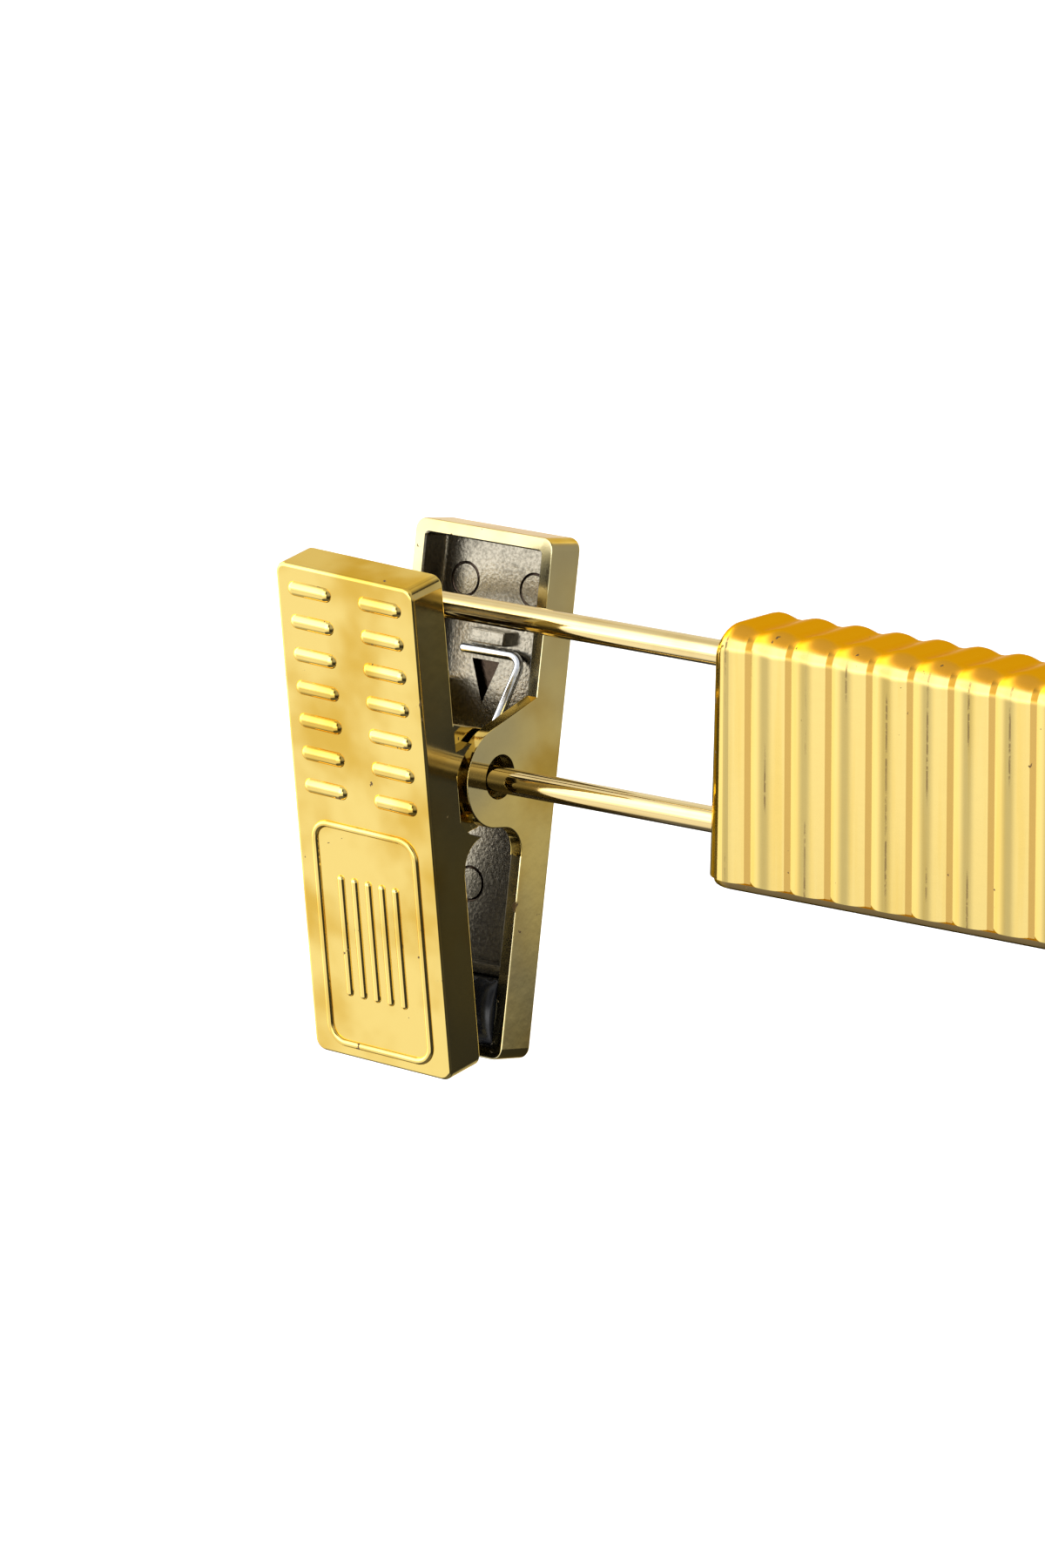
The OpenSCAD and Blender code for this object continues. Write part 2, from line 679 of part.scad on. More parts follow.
hook();
hook_bush();
hook_washer();
hook_stop();
bar_cover();
bar_base();
base_screws();
left_wire_anchor();
right_wire_anchor();
left_wire_loop();
right_wire_loop();
left_front_jaw();
left_rear_jaw();
left_spring();
left_front_pad();
left_rear_pad();
right_front_jaw();
right_rear_jaw();
right_spring();
right_front_pad();
right_rear_pad();
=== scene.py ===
"""Gold clip hanger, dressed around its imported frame.

A ribbed gold bar hangs from a swivel hook and carries a spring clip on a wire loop at each end.
Pieces are modelled in millimetres, and each mesh is put in its place in the frame's metres.
"""

import json
import logging
import math
from dataclasses import dataclass
from enum import Enum
from functools import cached_property
from typing import Any, Callable, Iterable, Mapping, Sequence

import bmesh
import bpy
from mathutils import Matrix, Vector


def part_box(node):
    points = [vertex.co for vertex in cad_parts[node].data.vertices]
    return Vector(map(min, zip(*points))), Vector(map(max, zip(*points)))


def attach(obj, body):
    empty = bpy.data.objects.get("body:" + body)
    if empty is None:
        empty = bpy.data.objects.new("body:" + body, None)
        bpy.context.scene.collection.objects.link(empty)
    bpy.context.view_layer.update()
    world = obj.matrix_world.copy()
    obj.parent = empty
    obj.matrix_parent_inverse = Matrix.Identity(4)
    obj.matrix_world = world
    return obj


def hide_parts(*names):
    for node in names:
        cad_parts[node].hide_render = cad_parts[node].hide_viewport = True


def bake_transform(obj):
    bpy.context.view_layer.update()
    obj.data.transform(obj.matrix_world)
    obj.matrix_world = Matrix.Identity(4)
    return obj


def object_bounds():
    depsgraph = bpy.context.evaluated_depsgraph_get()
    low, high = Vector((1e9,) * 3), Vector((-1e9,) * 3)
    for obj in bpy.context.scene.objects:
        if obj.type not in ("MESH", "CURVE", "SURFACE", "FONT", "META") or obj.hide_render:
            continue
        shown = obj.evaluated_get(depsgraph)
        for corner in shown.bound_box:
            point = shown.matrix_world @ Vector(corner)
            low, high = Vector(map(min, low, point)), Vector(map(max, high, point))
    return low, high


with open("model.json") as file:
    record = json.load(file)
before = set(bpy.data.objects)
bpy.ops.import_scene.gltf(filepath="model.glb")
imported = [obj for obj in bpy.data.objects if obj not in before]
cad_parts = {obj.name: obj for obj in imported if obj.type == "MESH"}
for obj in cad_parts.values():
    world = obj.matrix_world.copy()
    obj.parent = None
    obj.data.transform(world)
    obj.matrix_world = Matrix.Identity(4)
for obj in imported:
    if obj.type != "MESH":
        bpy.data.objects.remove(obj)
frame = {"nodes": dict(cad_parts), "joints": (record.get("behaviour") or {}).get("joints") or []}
CAD_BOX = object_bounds()

# A millimetre in the frame's metres; the five lengths after it are in millimetres
MM = 0.001
# Points closer than this are merged
WELD = 0.001
# Levels closer than this are the same
NEAR = 1e-4
# A point closer than this to a cutting plane is on it
ON_PLANE = 1e-6
# How far a cutter runs past what it cuts
PAST = 1.0
# Radius of the wire that the loops are bent from
WIRE_R = 1.5

LOG = logging.getLogger("clip_hanger")

Colour = tuple[float, float, float, float]
Span = tuple[float, float]
Stretch = tuple[float, float, float]
Mesh = bmesh.types.BMesh
Edges = list[bmesh.types.BMEdge]
EdgeTest = Callable[[Vector, Vector], bool]
Piece = bpy.types.Object
Material = bpy.types.Material

X_AXIS = Vector((1, 0, 0))
Y_AXIS = Vector((0, 1, 0))
Z_AXIS = Vector((0, 0, 1))
# A quarter turn, in radians
QUARTER = math.pi / 2
WHITE: Colour = (1, 1, 1, 1)


class Side(Enum):
    """The hanger's end that a clip sits on, and the sign of X there."""

    LEFT = -1
    RIGHT = 1

    @property
    def label(self) -> str:
        """The side's name in the frame."""
        return self.name.lower()


class Leaf(Enum):
    """One of the two halves of a clip."""

    FRONT = "front"
    REAR = "rear"


class Coat(Enum):
    """The finishes of a clip half, in the order of its material slots."""

    OUTSIDE = 0
    INSIDE = 1
    # Painted shade for the tray's pocket and the mould marks' rings
    POCKET = 2
    RIM = 3


def node_box(name: str) -> tuple[Vector, Vector]:
    """The lowest and highest corners of one of the frame's nodes, in millimetres."""
    low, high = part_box(name)
    return low / MM, high / MM


def hinge_at(joint: str) -> Vector:
    """The place of one of the frame's joints, in metres."""
    return next(Vector(j["pos_m"]) for j in frame["joints"] if j["name"] == joint)


@dataclass(frozen=True)
class Ribs:
    """The row of ribs along the bar."""

    pitch: float = 5.6
    groove: float = 0.45
    rise: float = 0.5
    margin: float = 7.4

    @property
    def flank(self) -> float:
        """The distance from a crest to the start of its groove."""
        return self.pitch / 2 - self.groove

    @property
    def reach(self) -> float:
        """The distance of the last crests from the middle of the bar."""
        return node_box("bar_cover")[1].x - self.margin + self.pitch / 2


# Shader tools


class Value:
    """A shader socket on which Python arithmetic adds Math nodes."""

    def __init__(self, board: "Board", socket: bpy.types.NodeSocket | None) -> None:
        """Keeps the socket and the board that it is on."""
        self.board = board
        self.socket = socket

    def math(self, operation: str, first: Any, second: Any = 0.0) -> "Value":
        """Adds one Math node with Blender's name of the operation, on Values or numbers."""
        return self.board.node("ShaderNodeMath", {"operation": operation}, {0: first, 1: second})

    def __add__(self, other: Any) -> "Value":
        """Sum."""
        return self.math("ADD", self, other)

    def __radd__(self, other: Any) -> "Value":
        """Sum, reflected."""
        return self.math("ADD", other, self)

    def __sub__(self, other: Any) -> "Value":
        """Difference."""
        return self.math("SUBTRACT", self, other)

    def __rsub__(self, other: Any) -> "Value":
        """Difference, reflected."""
        return self.math("SUBTRACT", other, self)

    def __mul__(self, other: Any) -> "Value":
        """Product."""
        return self.math("MULTIPLY", self, other)

    def __rmul__(self, other: Any) -> "Value":
        """Product, reflected."""
        return self.math("MULTIPLY", other, self)

    def __abs__(self) -> "Value":
        """Size without its sign."""
        return self.math("ABSOLUTE", self)

    def most(self, other: Any) -> "Value":
        """The larger of two numbers."""
        return self.math("MAXIMUM", self, other)

    def fold(self, half: float) -> "Value":
        """Runs up to a half and back down, over and over."""
        return self.math("PINGPONG", self, half)

    def centred(self) -> "Value":
        """Noise about 0 instead of about a half."""
        return self - 0.5

    def part(self, axis: str) -> "Value":
        """One axis of a vector."""
        return self.board.node("ShaderNodeSeparateXYZ", None, {0: self}, axis)

    def ramp(self, low: float, high: float) -> "Value":
        """Rises softly from 0 at low to 1 at high.

        Args:
            low: Where the result is 0.
            high: Where the result is 1; below low, the ramp falls.

        Returns:
            The ramped number, kept from 0 to 1.
        """
        settings = {"interpolation_type": "SMOOTHSTEP"}
        if low < high:
            return self.board.node("ShaderNodeMapRange", settings, {0: self, 1: low, 2: high})
        return 1 - self.board.node("ShaderNodeMapRange", settings, {0: self, 1: high, 2: low})


class Board:
    """A node tree, with one method that adds any node."""

    def __init__(self, tree: bpy.types.NodeTree) -> None:
        """Starts from an empty tree."""
        self.tree = tree
        tree.nodes.clear()

    def node(
        self,
        kind: str,
        settings: Mapping[str, Any] | None = None,
        inputs: Mapping[Any, Any] | None = None,
        output: int | str = 0,
    ) -> Value:
        """Adds a node.

        Args:
            kind: The node's type.
            settings: Its properties, which are set first.
            inputs: Values or links of its input sockets, by name or number.
            output: The output socket to hand back.

        Returns:
            That output, which is empty on a node that ends the tree.
        """
        made = self.tree.nodes.new(kind)
        for key, value in (settings or {}).items():
            setattr(made, key, value)
        for key, value in (inputs or {}).items():
            if isinstance(value, Value):
                self.tree.links.new(value.socket, made.inputs[key])
            else:
                made.inputs[key].default_value = value
        return Value(self, made.outputs[output] if len(made.outputs) else None)

    @cached_property
    def place(self) -> Value:
        """The point on the piece, in metres."""
        return self.node("ShaderNodeTexCoord", output="Object")

    def facing(self, axis: str) -> Value:
        """How far the surface faces along one of the piece's own axes."""
        return self.node("ShaderNodeTexCoord", output="Normal").part(axis)

    def noise(self, scale: float, detail: float = 2.0, vector: Value | None = None) -> Value:
        """Soft noise about a half, with its bumps to the metre and its octaves, at the place or a vector."""
        inputs = {"Vector": vector or self.place, "Scale": scale, "Detail": detail}
        return self.node("ShaderNodeTexNoise", None, inputs)

    def streaks(self, stretch: Stretch, detail: float = 2.0) -> Value:
        """Noise drawn out into streaks, with its bumps to the metre along each axis."""
        vector = self.node("ShaderNodeMapping", None, {"Vector": self.place, "Scale": stretch})
        return self.noise(1.0, detail, vector)

    def mix(self, factor: Any, first: Any, second: Any) -> Value:
        """Mixes two colours, from the first at a factor of 0 to the second at 1."""
        settings = {"data_type": "RGBA", "clamp_factor": True}
        return self.node("ShaderNodeMix", settings, {0: factor, 6: first, 7: second}, 2)

    def bump(self, height: Value, depth: float) -> Value:
        """A normal bent by a height map of the given depth in metres."""
        return self.node("ShaderNodeBump", None, {"Height": height, "Distance": depth})

    def edges(self, span: Span) -> Value:
        """1 on rounded edges and 0 on faces square to the piece's axes, with a ramp between."""
        x, y, z = (abs(self.facing(axis)) for axis in "XYZ")
        return x.most(y).most(z).ramp(*span)

    def surface(self, sockets: Mapping[str, Any]) -> None:
        """Ends the tree in a Principled shader with these sockets."""
        shader = self.node("ShaderNodeBsdfPrincipled", None, sockets)
        self.node("ShaderNodeOutputMaterial", None, {"Surface": shader})


def new_board(name: str) -> tuple[Material, Board]:
    """Makes an empty material.

    Args:
        name: The material's name.

    Returns:
        The material, and the board for its nodes.
    """
    material = bpy.data.materials.new(name)
    material.use_nodes = True
    return material, Board(material.node_tree)


# Finishes


@dataclass(frozen=True)
class Finish:
    """A finish that varies from its ground colour to a second one.

    Its scales count bumps to the metre, and its depths are in metres.
    """

    name: str
    ground: Colour
    second: Colour
    roughness: float

    def sockets(self, board: Board) -> dict[str, Any]:
        """The shader's sockets, which each finish works out in its own way."""
        raise NotImplementedError

    def material(self) -> Material:
        """Builds the finish's nodes.

        Returns:
            The material.
        """
        made, board = new_board(self.name)
        board.surface(self.sockets(board))
        return made


@dataclass(frozen=True)
class PlatedGold(Finish):
    """Gold lacquer over bright metallised plastic, with painted shade towards its second colour where it
    faces up, and chipped at its edges.
    """

    # Share of the second colour laid on faces that look up, as painted shade
    top_shade: float
    chip_level: float
    bare: Colour = (0.10, 0.06, 0.025, 1)
    glance: Colour = (0.92, 0.66, 0.22, 1)
    top_span: Span = (0.25, 0.95)
    top_dull: float = 0.05
    # Painted shade on faces that look sideways: its colour, share, patch size and patch span
    thin: Colour = (0.50, 0.44, 0.25, 1)
    thin_share: float = 0.0
    thin_scale: float = 45
    thin_span: Span = (0.3, 0.7)
    side_span: Span = (0.7, 0.95)
    edge_span: Span = (0.95, 0.8)
    cloud_scale: float = 110
    cloud_share: float = 0.3
    cloud_span: Span = (0.42, 0.68)
    cloud_rough: float = 0.08
    peel_scale: float = 700
    peel_depth: float = 0.000003
    speck_scale: float = 620
    chip_edge: float = 0.05
    chip_soft: float = 0.015
    chip_rough: float = 0.3
    chip_loss: float = 0.7

    def coat(self, board: Board, tone: Value) -> Value:
        """Colours the lacquer, with painted shade in patches on the sides.

        Args:
            board: The material's board.
            tone: 0 where the lacquer is pale and 1 where it is deep.

        Returns:
            The colour.
        """
        thick = board.mix(tone, self.ground, self.second)
        # Sideways faces go to the painted shade colour in random patches
        painted_side = abs(board.facing("X")).ramp(*self.side_span) * self.thin_share
        patch = board.noise(self.thin_scale).ramp(*self.thin_span)
        return board.mix(painted_side * patch, thick, self.thin)

    def worn(self, board: Board) -> Value:
        """Where the lacquer is chipped off, more often on edges.

        Args:
            board: The material's board.

        Returns:
            0 on whole lacquer and 1 on bare spots.
        """
        speck = board.noise(self.speck_scale, detail=4)
        loose = speck + board.edges(self.edge_span) * self.chip_edge
        return loose.ramp(self.chip_level, self.chip_level + self.chip_soft)

    def sockets(self, board: Board) -> dict[str, Any]:
        """Works out the shader's sockets.

        Args:
            board: The material's board.

        Returns:
            The sockets by name.
        """
        cloud = board.noise(self.cloud_scale, detail=3)
        peel = board.noise(self.peel_scale)
        # Faces that look up get the second colour as painted shade, and a duller finish
        top = board.facing("Z").ramp(*self.top_span)
        tone = top * self.top_shade + cloud.ramp(*self.cloud_span) * self.cloud_share
        chip = self.worn(board)
        dull = cloud.centred() * self.cloud_rough + top * self.top_dull + chip * self.chip_rough
        return {
            "Base Color": board.mix(chip, self.coat(board, tone), self.bare),
            "Metallic": 1 - chip * self.chip_loss,
            "Roughness": self.roughness + dull,
            "Specular Tint": self.glance,
            "Normal": board.bump(peel, self.peel_depth),
        }


@dataclass(frozen=True)
class RibbedGold(PlatedGold):
    """The bar's gold, with painted shade in the grooves between the ribs, and dark broken lines along some
    crests.

    A rubbed line and the soft edges of lines and grooves are in millimetres, as the ribs are.
    """

    ribs: Ribs = Ribs()
    soft: float = 0.06
    line: float = 0.1
    # Painted shade in the grooves, and deeper painted shade where they cross the top edge
    tan: Colour = (0.55, 0.35, 0.092, 1)
    amber: Colour = (0.33, 0.175, 0.022, 1)
    amber_span: Span = (0.05, 0.25)
    groove_end: Span = (0.8, 0.6)
    stain: Colour = (0.45, 0.29, 0.038, 1)
    stain_share: float = 0.3
    stain_stretch: Stretch = (750, 750, 28)
    stain_span: Span = (0.42, 0.72)
    upright_span: Span = (0.6, 0.3)
    rub_share: float = 0.8
    rub_stretch: Stretch = (170, 170, 70)
    rub_span: Span = (0.5, 0.6)
    break_scale: float = 1700
    break_span: Span = (0.3, 0.5)
    front_span: Span = (0.75, 0.9)

    def along(self, board: Board) -> Value:
        """The distance from the middle of the bar, in millimetres."""
        return abs(board.place.part("X")) * (1 / MM)

    def coat(self, board: Board, tone: Value) -> Value:
        """Colours the lacquer, with stains down the ribs, and with painted shade in the grooves that turns
        deeper where they reach the top.

        Args:
            board: The material's board.
            tone: 0 where the lacquer is pale and 1 where it is deep.

        Returns:
            The colour.
        """
        along = self.along(board)
        flank, reach = self.ribs.flank, self.ribs.reach
        groove = along.fold(self.ribs.pitch / 2).ramp(flank - self.soft, flank + self.soft)
        ribbed = along.ramp(reach + self.soft, reach - self.soft)
        upright = abs(board.facing("Z")).ramp(*self.upright_span)
        run = board.streaks(self.stain_stretch, detail=3).ramp(*self.stain_span)
        lacquer = super().coat(board, tone)
        streaked = board.mix(run * upright * self.stain_share, lacquer, self.stain)
        # The grooves' painted shade, deeper where the faces turn up
        painted_groove = board.mix(board.facing("Z").ramp(*self.amber_span), self.tan, self.amber)
        return board.mix(groove * ribbed * board.facing("Z").ramp(*self.groove_end), streaked, painted_groove)

    def worn(self, board: Board) -> Value:
        """Where the lacquer is chipped off, with dark broken lines along the crests.

        Args:
            board: The material's board.

        Returns:
            0 on whole lacquer and 1 on bare spots.
        """
        # Dark broken lines along the crests, on faces that look front or back
        crest = self.along(board).fold(self.ribs.pitch / 2).ramp(self.line + self.soft, self.line)
        streak = board.streaks(self.rub_stretch, detail=3).ramp(*self.rub_span)
        broken = board.noise(self.break_scale).ramp(*self.break_span)
        front = abs(board.facing("Y")).ramp(*self.front_span)
        return super().worn(board).most(crest * streak * broken * front * self.rub_share)


@dataclass(frozen=True)
class GreyTray(Finish):
    """The thin grey metal inside a clip half, with the grain of the mould."""

    grain_scale: float = 2600
    grain_depth: float = 0.00003
    grain_share: float = 1.6
    patch_scale: float = 130
    patch_span: Span = (0.35, 0.7)
    patch_share: float = 0.4
    patch_rough: float = 0.2

    def sockets(self, board: Board) -> dict[str, Any]:
        """Works out the shader's sockets.

        Args:
            board: The material's board.

        Returns:
            The sockets by name.
        """
        grain = board.noise(self.grain_scale, detail=3)
        patch = board.noise(self.patch_scale, detail=3)
        tone = patch.ramp(*self.patch_span) * self.patch_share + grain.centred() * self.grain_share
        return {
            "Base Color": board.mix(tone, self.ground, self.second),
            "Metallic": 1.0,
            "Roughness": self.roughness + patch.centred() * self.patch_rough,
            "Normal": board.bump(grain, self.grain_depth),
        }


@dataclass(frozen=True)
class DrawnWire(Finish):
    """Bright drawn wire, with fine lines along its run."""

    line_stretch: Stretch = (30, 1500, 1500)
    line_depth: float = 0.000004
    line_span: Span = (0.35, 0.75)
    line_share: float = 0.5
    line_rough: float = 0.08
    patch_scale: float = 190
    patch_span: Span = (0.5, 0.8)
    patch_share: float = 0.3
    patch_rough: float = 0.05

    def sockets(self, board: Board) -> dict[str, Any]:
        """Works out the shader's sockets.

        Args:
            board: The material's board.

        Returns:
            The sockets by name.
        """
        lines = board.streaks(self.line_stretch)
        patch = board.noise(self.patch_scale)
        tone = lines.ramp(*self.line_span) * self.line_share
        tone = tone + patch.ramp(*self.patch_span) * self.patch_share
        dull = lines.centred() * self.line_rough + patch.centred() * self.patch_rough
        return {
            "Base Color": board.mix(tone, self.ground, self.second),
            "Metallic": 1.0,
            "Roughness": self.roughness + dull,
            "Normal": board.bump(lines, self.line_depth),
        }


@dataclass(frozen=True)
class Moulded(Finish):
    """Plain moulded stuff, such as rubber or hard plastic, with a fine grain and some dust."""

    grain_scale: float
    grain_depth: float
    grain_rough: float = 0.15
    dust_scale: float = 900
    dust_span: Span = (0.62, 0.72)
    dust_share: float = 0.35
    dust_rough: float = 0.15

    def sockets(self, board: Board) -> dict[str, Any]:
        """Works out the shader's sockets.

        Args:
            board: The material's board.

        Returns:
            The sockets by name.
        """
        grain = board.noise(self.grain_scale, detail=3)
        dust = board.noise(self.dust_scale, detail=4).ramp(*self.dust_span)
        return {
            "Base Color": board.mix(dust * self.dust_share, self.ground, self.second),
            "Roughness": self.roughness + grain.centred() * self.grain_rough + dust * self.dust_rough,
            "Normal": board.bump(grain, self.grain_depth),
        }


class Palette:
    """The materials of the hanger."""

    def __init__(self) -> None:
        """Makes each finish once."""
        # The bar's amber second colour is painted shade on its top
        self.bar = RibbedGold(
            "bar_gold", (0.49, 0.375, 0.13, 1), (0.82, 0.39, 0.03, 1), roughness=0.11, top_shade=0.95,
            chip_level=0.735, top_span=(0.42, 0.62), top_dull=0.2, cloud_share=0.02,
        ).material()
        # Dark brown painted shade, so that the plate's rim reads as the dark line under the cover; the
        # hook's bush shares it
        self.plate = PlatedGold(
            "plate_gold", (0.15, 0.105, 0.045, 1), (0.09, 0.06, 0.025, 1), roughness=0.25, top_shade=0.4,
            chip_level=0.72,
        ).material()
        # The clip's second colour is painted shade on its top, and the side colour is painted shade on its
        # sides
        self.clip = PlatedGold(
            "clip_gold", (0.95, 0.72, 0.225, 1), (0.70, 0.41, 0.035, 1), roughness=0.1, top_shade=0.3,
            chip_level=0.725, glance=(0.95, 0.82, 0.55, 1), thin_share=0.8, cloud_share=0.75,
            cloud_scale=85,
        ).material()
        self.rim = PlatedGold(
            "rim_gold", (0.50, 0.445, 0.26, 1), (0.45, 0.36, 0.15, 1), roughness=0.15, top_shade=0.2,
            chip_level=0.7, cloud_share=0.5, cloud_scale=160,
        ).material()
        self.tray = GreyTray(
            "tray_grey", (0.29, 0.265, 0.21, 1), (0.03, 0.027, 0.02, 1), roughness=0.22,
        ).material()
        # Near-black painted shade for the tray's pocket and the rings of the mould marks
        self.pocket = GreyTray(
            "pocket_grey", (0.05, 0.035, 0.025, 1), (0.02, 0.015, 0.01, 1), roughness=0.22,
        ).material()
        self.wire = DrawnWire(
            "wire_gold", (0.95, 0.75, 0.36, 1), (0.66, 0.43, 0.12, 1), roughness=0.08,
        ).material()
        self.spring = DrawnWire(
            "spring_steel", (0.84, 0.87, 0.92, 1), (0.5, 0.52, 0.56, 1), roughness=0.14,
        ).material()
        self.steel = DrawnWire(
            "plain_steel", (0.66, 0.66, 0.65, 1), (0.4, 0.4, 0.4, 1), roughness=0.28,
        ).material()
        self.rubber = Moulded(
            "black_rubber", (0.010, 0.011, 0.013, 1), (0.10, 0.10, 0.10, 1), roughness=0.2,
            grain_scale=1200, grain_depth=0.000006,
        ).material()
        self.core = Moulded(
            "core_plastic", (0.045, 0.043, 0.04, 1), (0.12, 0.11, 0.1, 1), roughness=0.45,
            grain_scale=900, grain_depth=0.00002,
        ).material()


# Mesh tools


def box(bm: Mesh, low: Sequence[float], high: Sequence[float]) -> None:
    """Adds a block.

    Args:
        bm: The mesh.
        low: Its lowest corner.
        high: Its highest corner.
    """
    low, high = Vector(low), Vector(high)
    place = Matrix.Translation((low + high) / 2) @ Matrix.Diagonal((*(high - low), 1))
    bmesh.ops.create_cube(bm, size=1, matrix=place)


def edges_where(bm: Mesh, test: EdgeTest) -> Edges:
    """The edges whose two ends pass a test."""
    return [e for e in bm.edges if test(e.verts[0].co, e.verts[1].co)]


def along(axis: int) -> EdgeTest:
    """A test for edges that run along one axis."""
    others = [i for i in range(3) if i != axis]
    return lambda a, b: all(abs(a[i] - b[i]) < NEAR for i in others)


def at_level(axis: int, level: float) -> EdgeTest:
    """A test for edges that lie at one level of an axis."""
    return lambda a, b: abs(a[axis] - level) < NEAR and abs(b[axis] - level) < NEAR


def bevel(bm: Mesh, edges: Edges, width: float, segments: int = 2) -> None:
    """Rounds edges off, with the width as the radius on a square edge."""
    bmesh.ops.bevel(
        bm, geom=edges, offset=width, offset_type="OFFSET", segments=segments, profile=0.5,
        affect="EDGES", material=-1, clamp_overlap=True,
    )


def slice_at(bm: Mesh, axis: Vector, levels: Iterable[float]) -> None:
    """Cuts the mesh into slices across an axis, without parting it.

    Args:
        bm: The mesh.
        axis: The axis.
        levels: Where to cut along it.
    """
    for level in levels:
        geom = [*bm.verts, *bm.edges, *bm.faces]
        bmesh.ops.bisect_plane(bm, geom=geom, dist=ON_PLANE, plane_co=axis * level, plane_no=axis)


def slab(bm: Mesh, outline: Iterable[Sequence[float]], offset: Vector) -> None:
    """Adds a slab.

    Args:
        bm: The mesh.
        outline: The corners of its one face, in order.
        offset: The way from there to its other face.
    """
    face = bm.faces.new([bm.verts.new(corner) for corner in outline])
    made = bmesh.ops.extrude_face_region(bm, geom=[face])["geom"]
    moved = [g for g in made if isinstance(g, bmesh.types.BMVert)]
    bmesh.ops.translate(bm, vec=offset, verts=moved)


def heading_to(centre: Vector, heading: Vector) -> Matrix:
    """A place at a centre, with Z turned to a heading."""
    return Matrix.Translation(centre) @ Z_AXIS.rotation_difference(heading).to_matrix().to_4x4()


def round_bar(bm: Mesh, start: Vector, end: Vector, radius: float, sides: int = 56) -> None:
    """Adds a plain round bar.

    Args:
        bm: The mesh.
        start: The centre of its one end.
        end: The centre of its other end.
        radius: Its radius.
        sides: Its sides.
    """
    run = end - start
    place = heading_to((start + end) / 2, run)
    bmesh.ops.create_cone(
        bm, cap_ends=True, segments=sides, radius1=radius, radius2=radius, depth=run.length, matrix=place
    )


class Wire:
    """A round wire that is drawn out, bent and closed step by step."""

    def __init__(self, bm: Mesh, centre: Vector, heading: Vector, radius: float, sides: int) -> None:
        """Starts the wire with an open ring.

        Args:
            bm: The mesh that it grows in.
            centre: Where it starts.
            heading: The way it will run.
            radius: Its radius.
            sides: Its sides.
        """
        self.bm = bm
        self.radius = radius
        place = heading_to(centre, heading)
        made = bmesh.ops.create_circle(bm, cap_ends=False, radius=radius, segments=sides, matrix=place)
        self.ring: Edges = list({e for v in made["verts"] for e in v.link_edges})

    def points(self) -> list[bmesh.types.BMVert]:
        """The points of the wire's end."""
        return list({v for e in self.ring for v in e.verts})

    def middle(self) -> Vector:
        """The centre of the wire's end."""
        points = self.points()
        return sum((v.co for v in points), Vector()) / len(points)

    def draw(self, offset: Vector) -> None:
        """Draws the wire on in a straight line.

        Args:
            offset: The way to its new end.
        """
        made = bmesh.ops.extrude_edge_only(self.bm, edges=self.ring)["geom"]
        points = {g for g in made if isinstance(g, bmesh.types.BMVert)}
        bmesh.ops.translate(self.bm, vec=offset, verts=list(points))
        self.ring = [g for g in made if isinstance(g, bmesh.types.BMEdge) and set(g.verts) <= points]

    def bend(self, centre: Vector, axis: Vector, turn: float, steps: int, rise: float = 0.0) -> None:
        """Bends the wire round an axis, or winds it into a coil.

        Args:
            centre: A point on the axis.
            axis: The axis' direction.
            turn: The angle, in radians.
            steps: Steps of the bend.
            rise: Travel along the axis.
        """
        made = bmesh.ops.spin(
            self.bm, geom=[*self.points(), *self.ring], cent=centre, axis=axis, angle=turn, steps=steps,
            dvec=axis * (rise / steps), use_merge=False, use_duplicate=False,
        )
        self.ring = [g for g in made["geom_last"] if isinstance(g, bmesh.types.BMEdge)]

    def cap(self) -> None:
        """Closes the wire's end with a flat face."""
        bmesh.ops.contextual_create(self.bm, geom=self.ring)

    def dome(self, heading: Vector, steps: int = 5) -> None:
        """Closes the wire's end with half a ball, and keeps hold of the ring under it.

        Args:
            heading: The way out of the end.
            steps: Steps from the ring to the ball's tip.
        """
        ring, centre, size = self.ring, self.middle(), 1.0
        for step in range(1, steps):
            angle = step / steps * QUARTER
            level = centre + heading * (self.radius * math.sin(angle))
            self.draw(level - self.middle())
            factor = math.cos(angle) / size
            around = Matrix.Translation(-level)
            bmesh.ops.scale(self.bm, vec=(factor,) * 3, space=around, verts=self.points())
            size = math.cos(angle)
        self.cap()
        self.ring = ring


def rod(bm: Mesh, middle: Vector, heading: Vector, length: float, radius: float, sides: int) -> None:
    """Adds a straight rod with ball ends.

    Args:
        bm: The mesh.
        middle: Its middle.
        heading: The way it runs.
        length: Its length from tip to tip.
        radius: Its radius.
        sides: Its sides.
    """
    straight = heading * (length - 2 * radius)
    wire = Wire(bm, middle - straight / 2, heading, radius, sides)
    wire.dome(-heading)
    wire.draw(straight)
    wire.dome(heading)


def put(bm: Mesh, name: str, materials: Sequence[Material], place: Matrix | None = None) -> Piece:
    """Turns a mesh in millimetres into an object in metres, with its place in its mesh.

    Args:
        bm: The mesh, which is used up.
        name: The object's name.
        materials: Its material slots.
        place: Where it goes, in millimetres.

    Returns:
        The object, at the origin.
    """
    bmesh.ops.remove_doubles(bm, verts=bm.verts, dist=WELD)
    bmesh.ops.recalc_face_normals(bm, faces=bm.faces)
    mesh = bpy.data.meshes.new(name)
    bm.transform(Matrix.Scale(MM, 4) @ (place or Matrix.Identity(4)))
    bm.to_mesh(mesh)
    bm.free()
    for material in materials:
        mesh.materials.append(material)
    made = bpy.data.objects.new(name, mesh)
    bpy.context.scene.collection.objects.link(made)
    return made


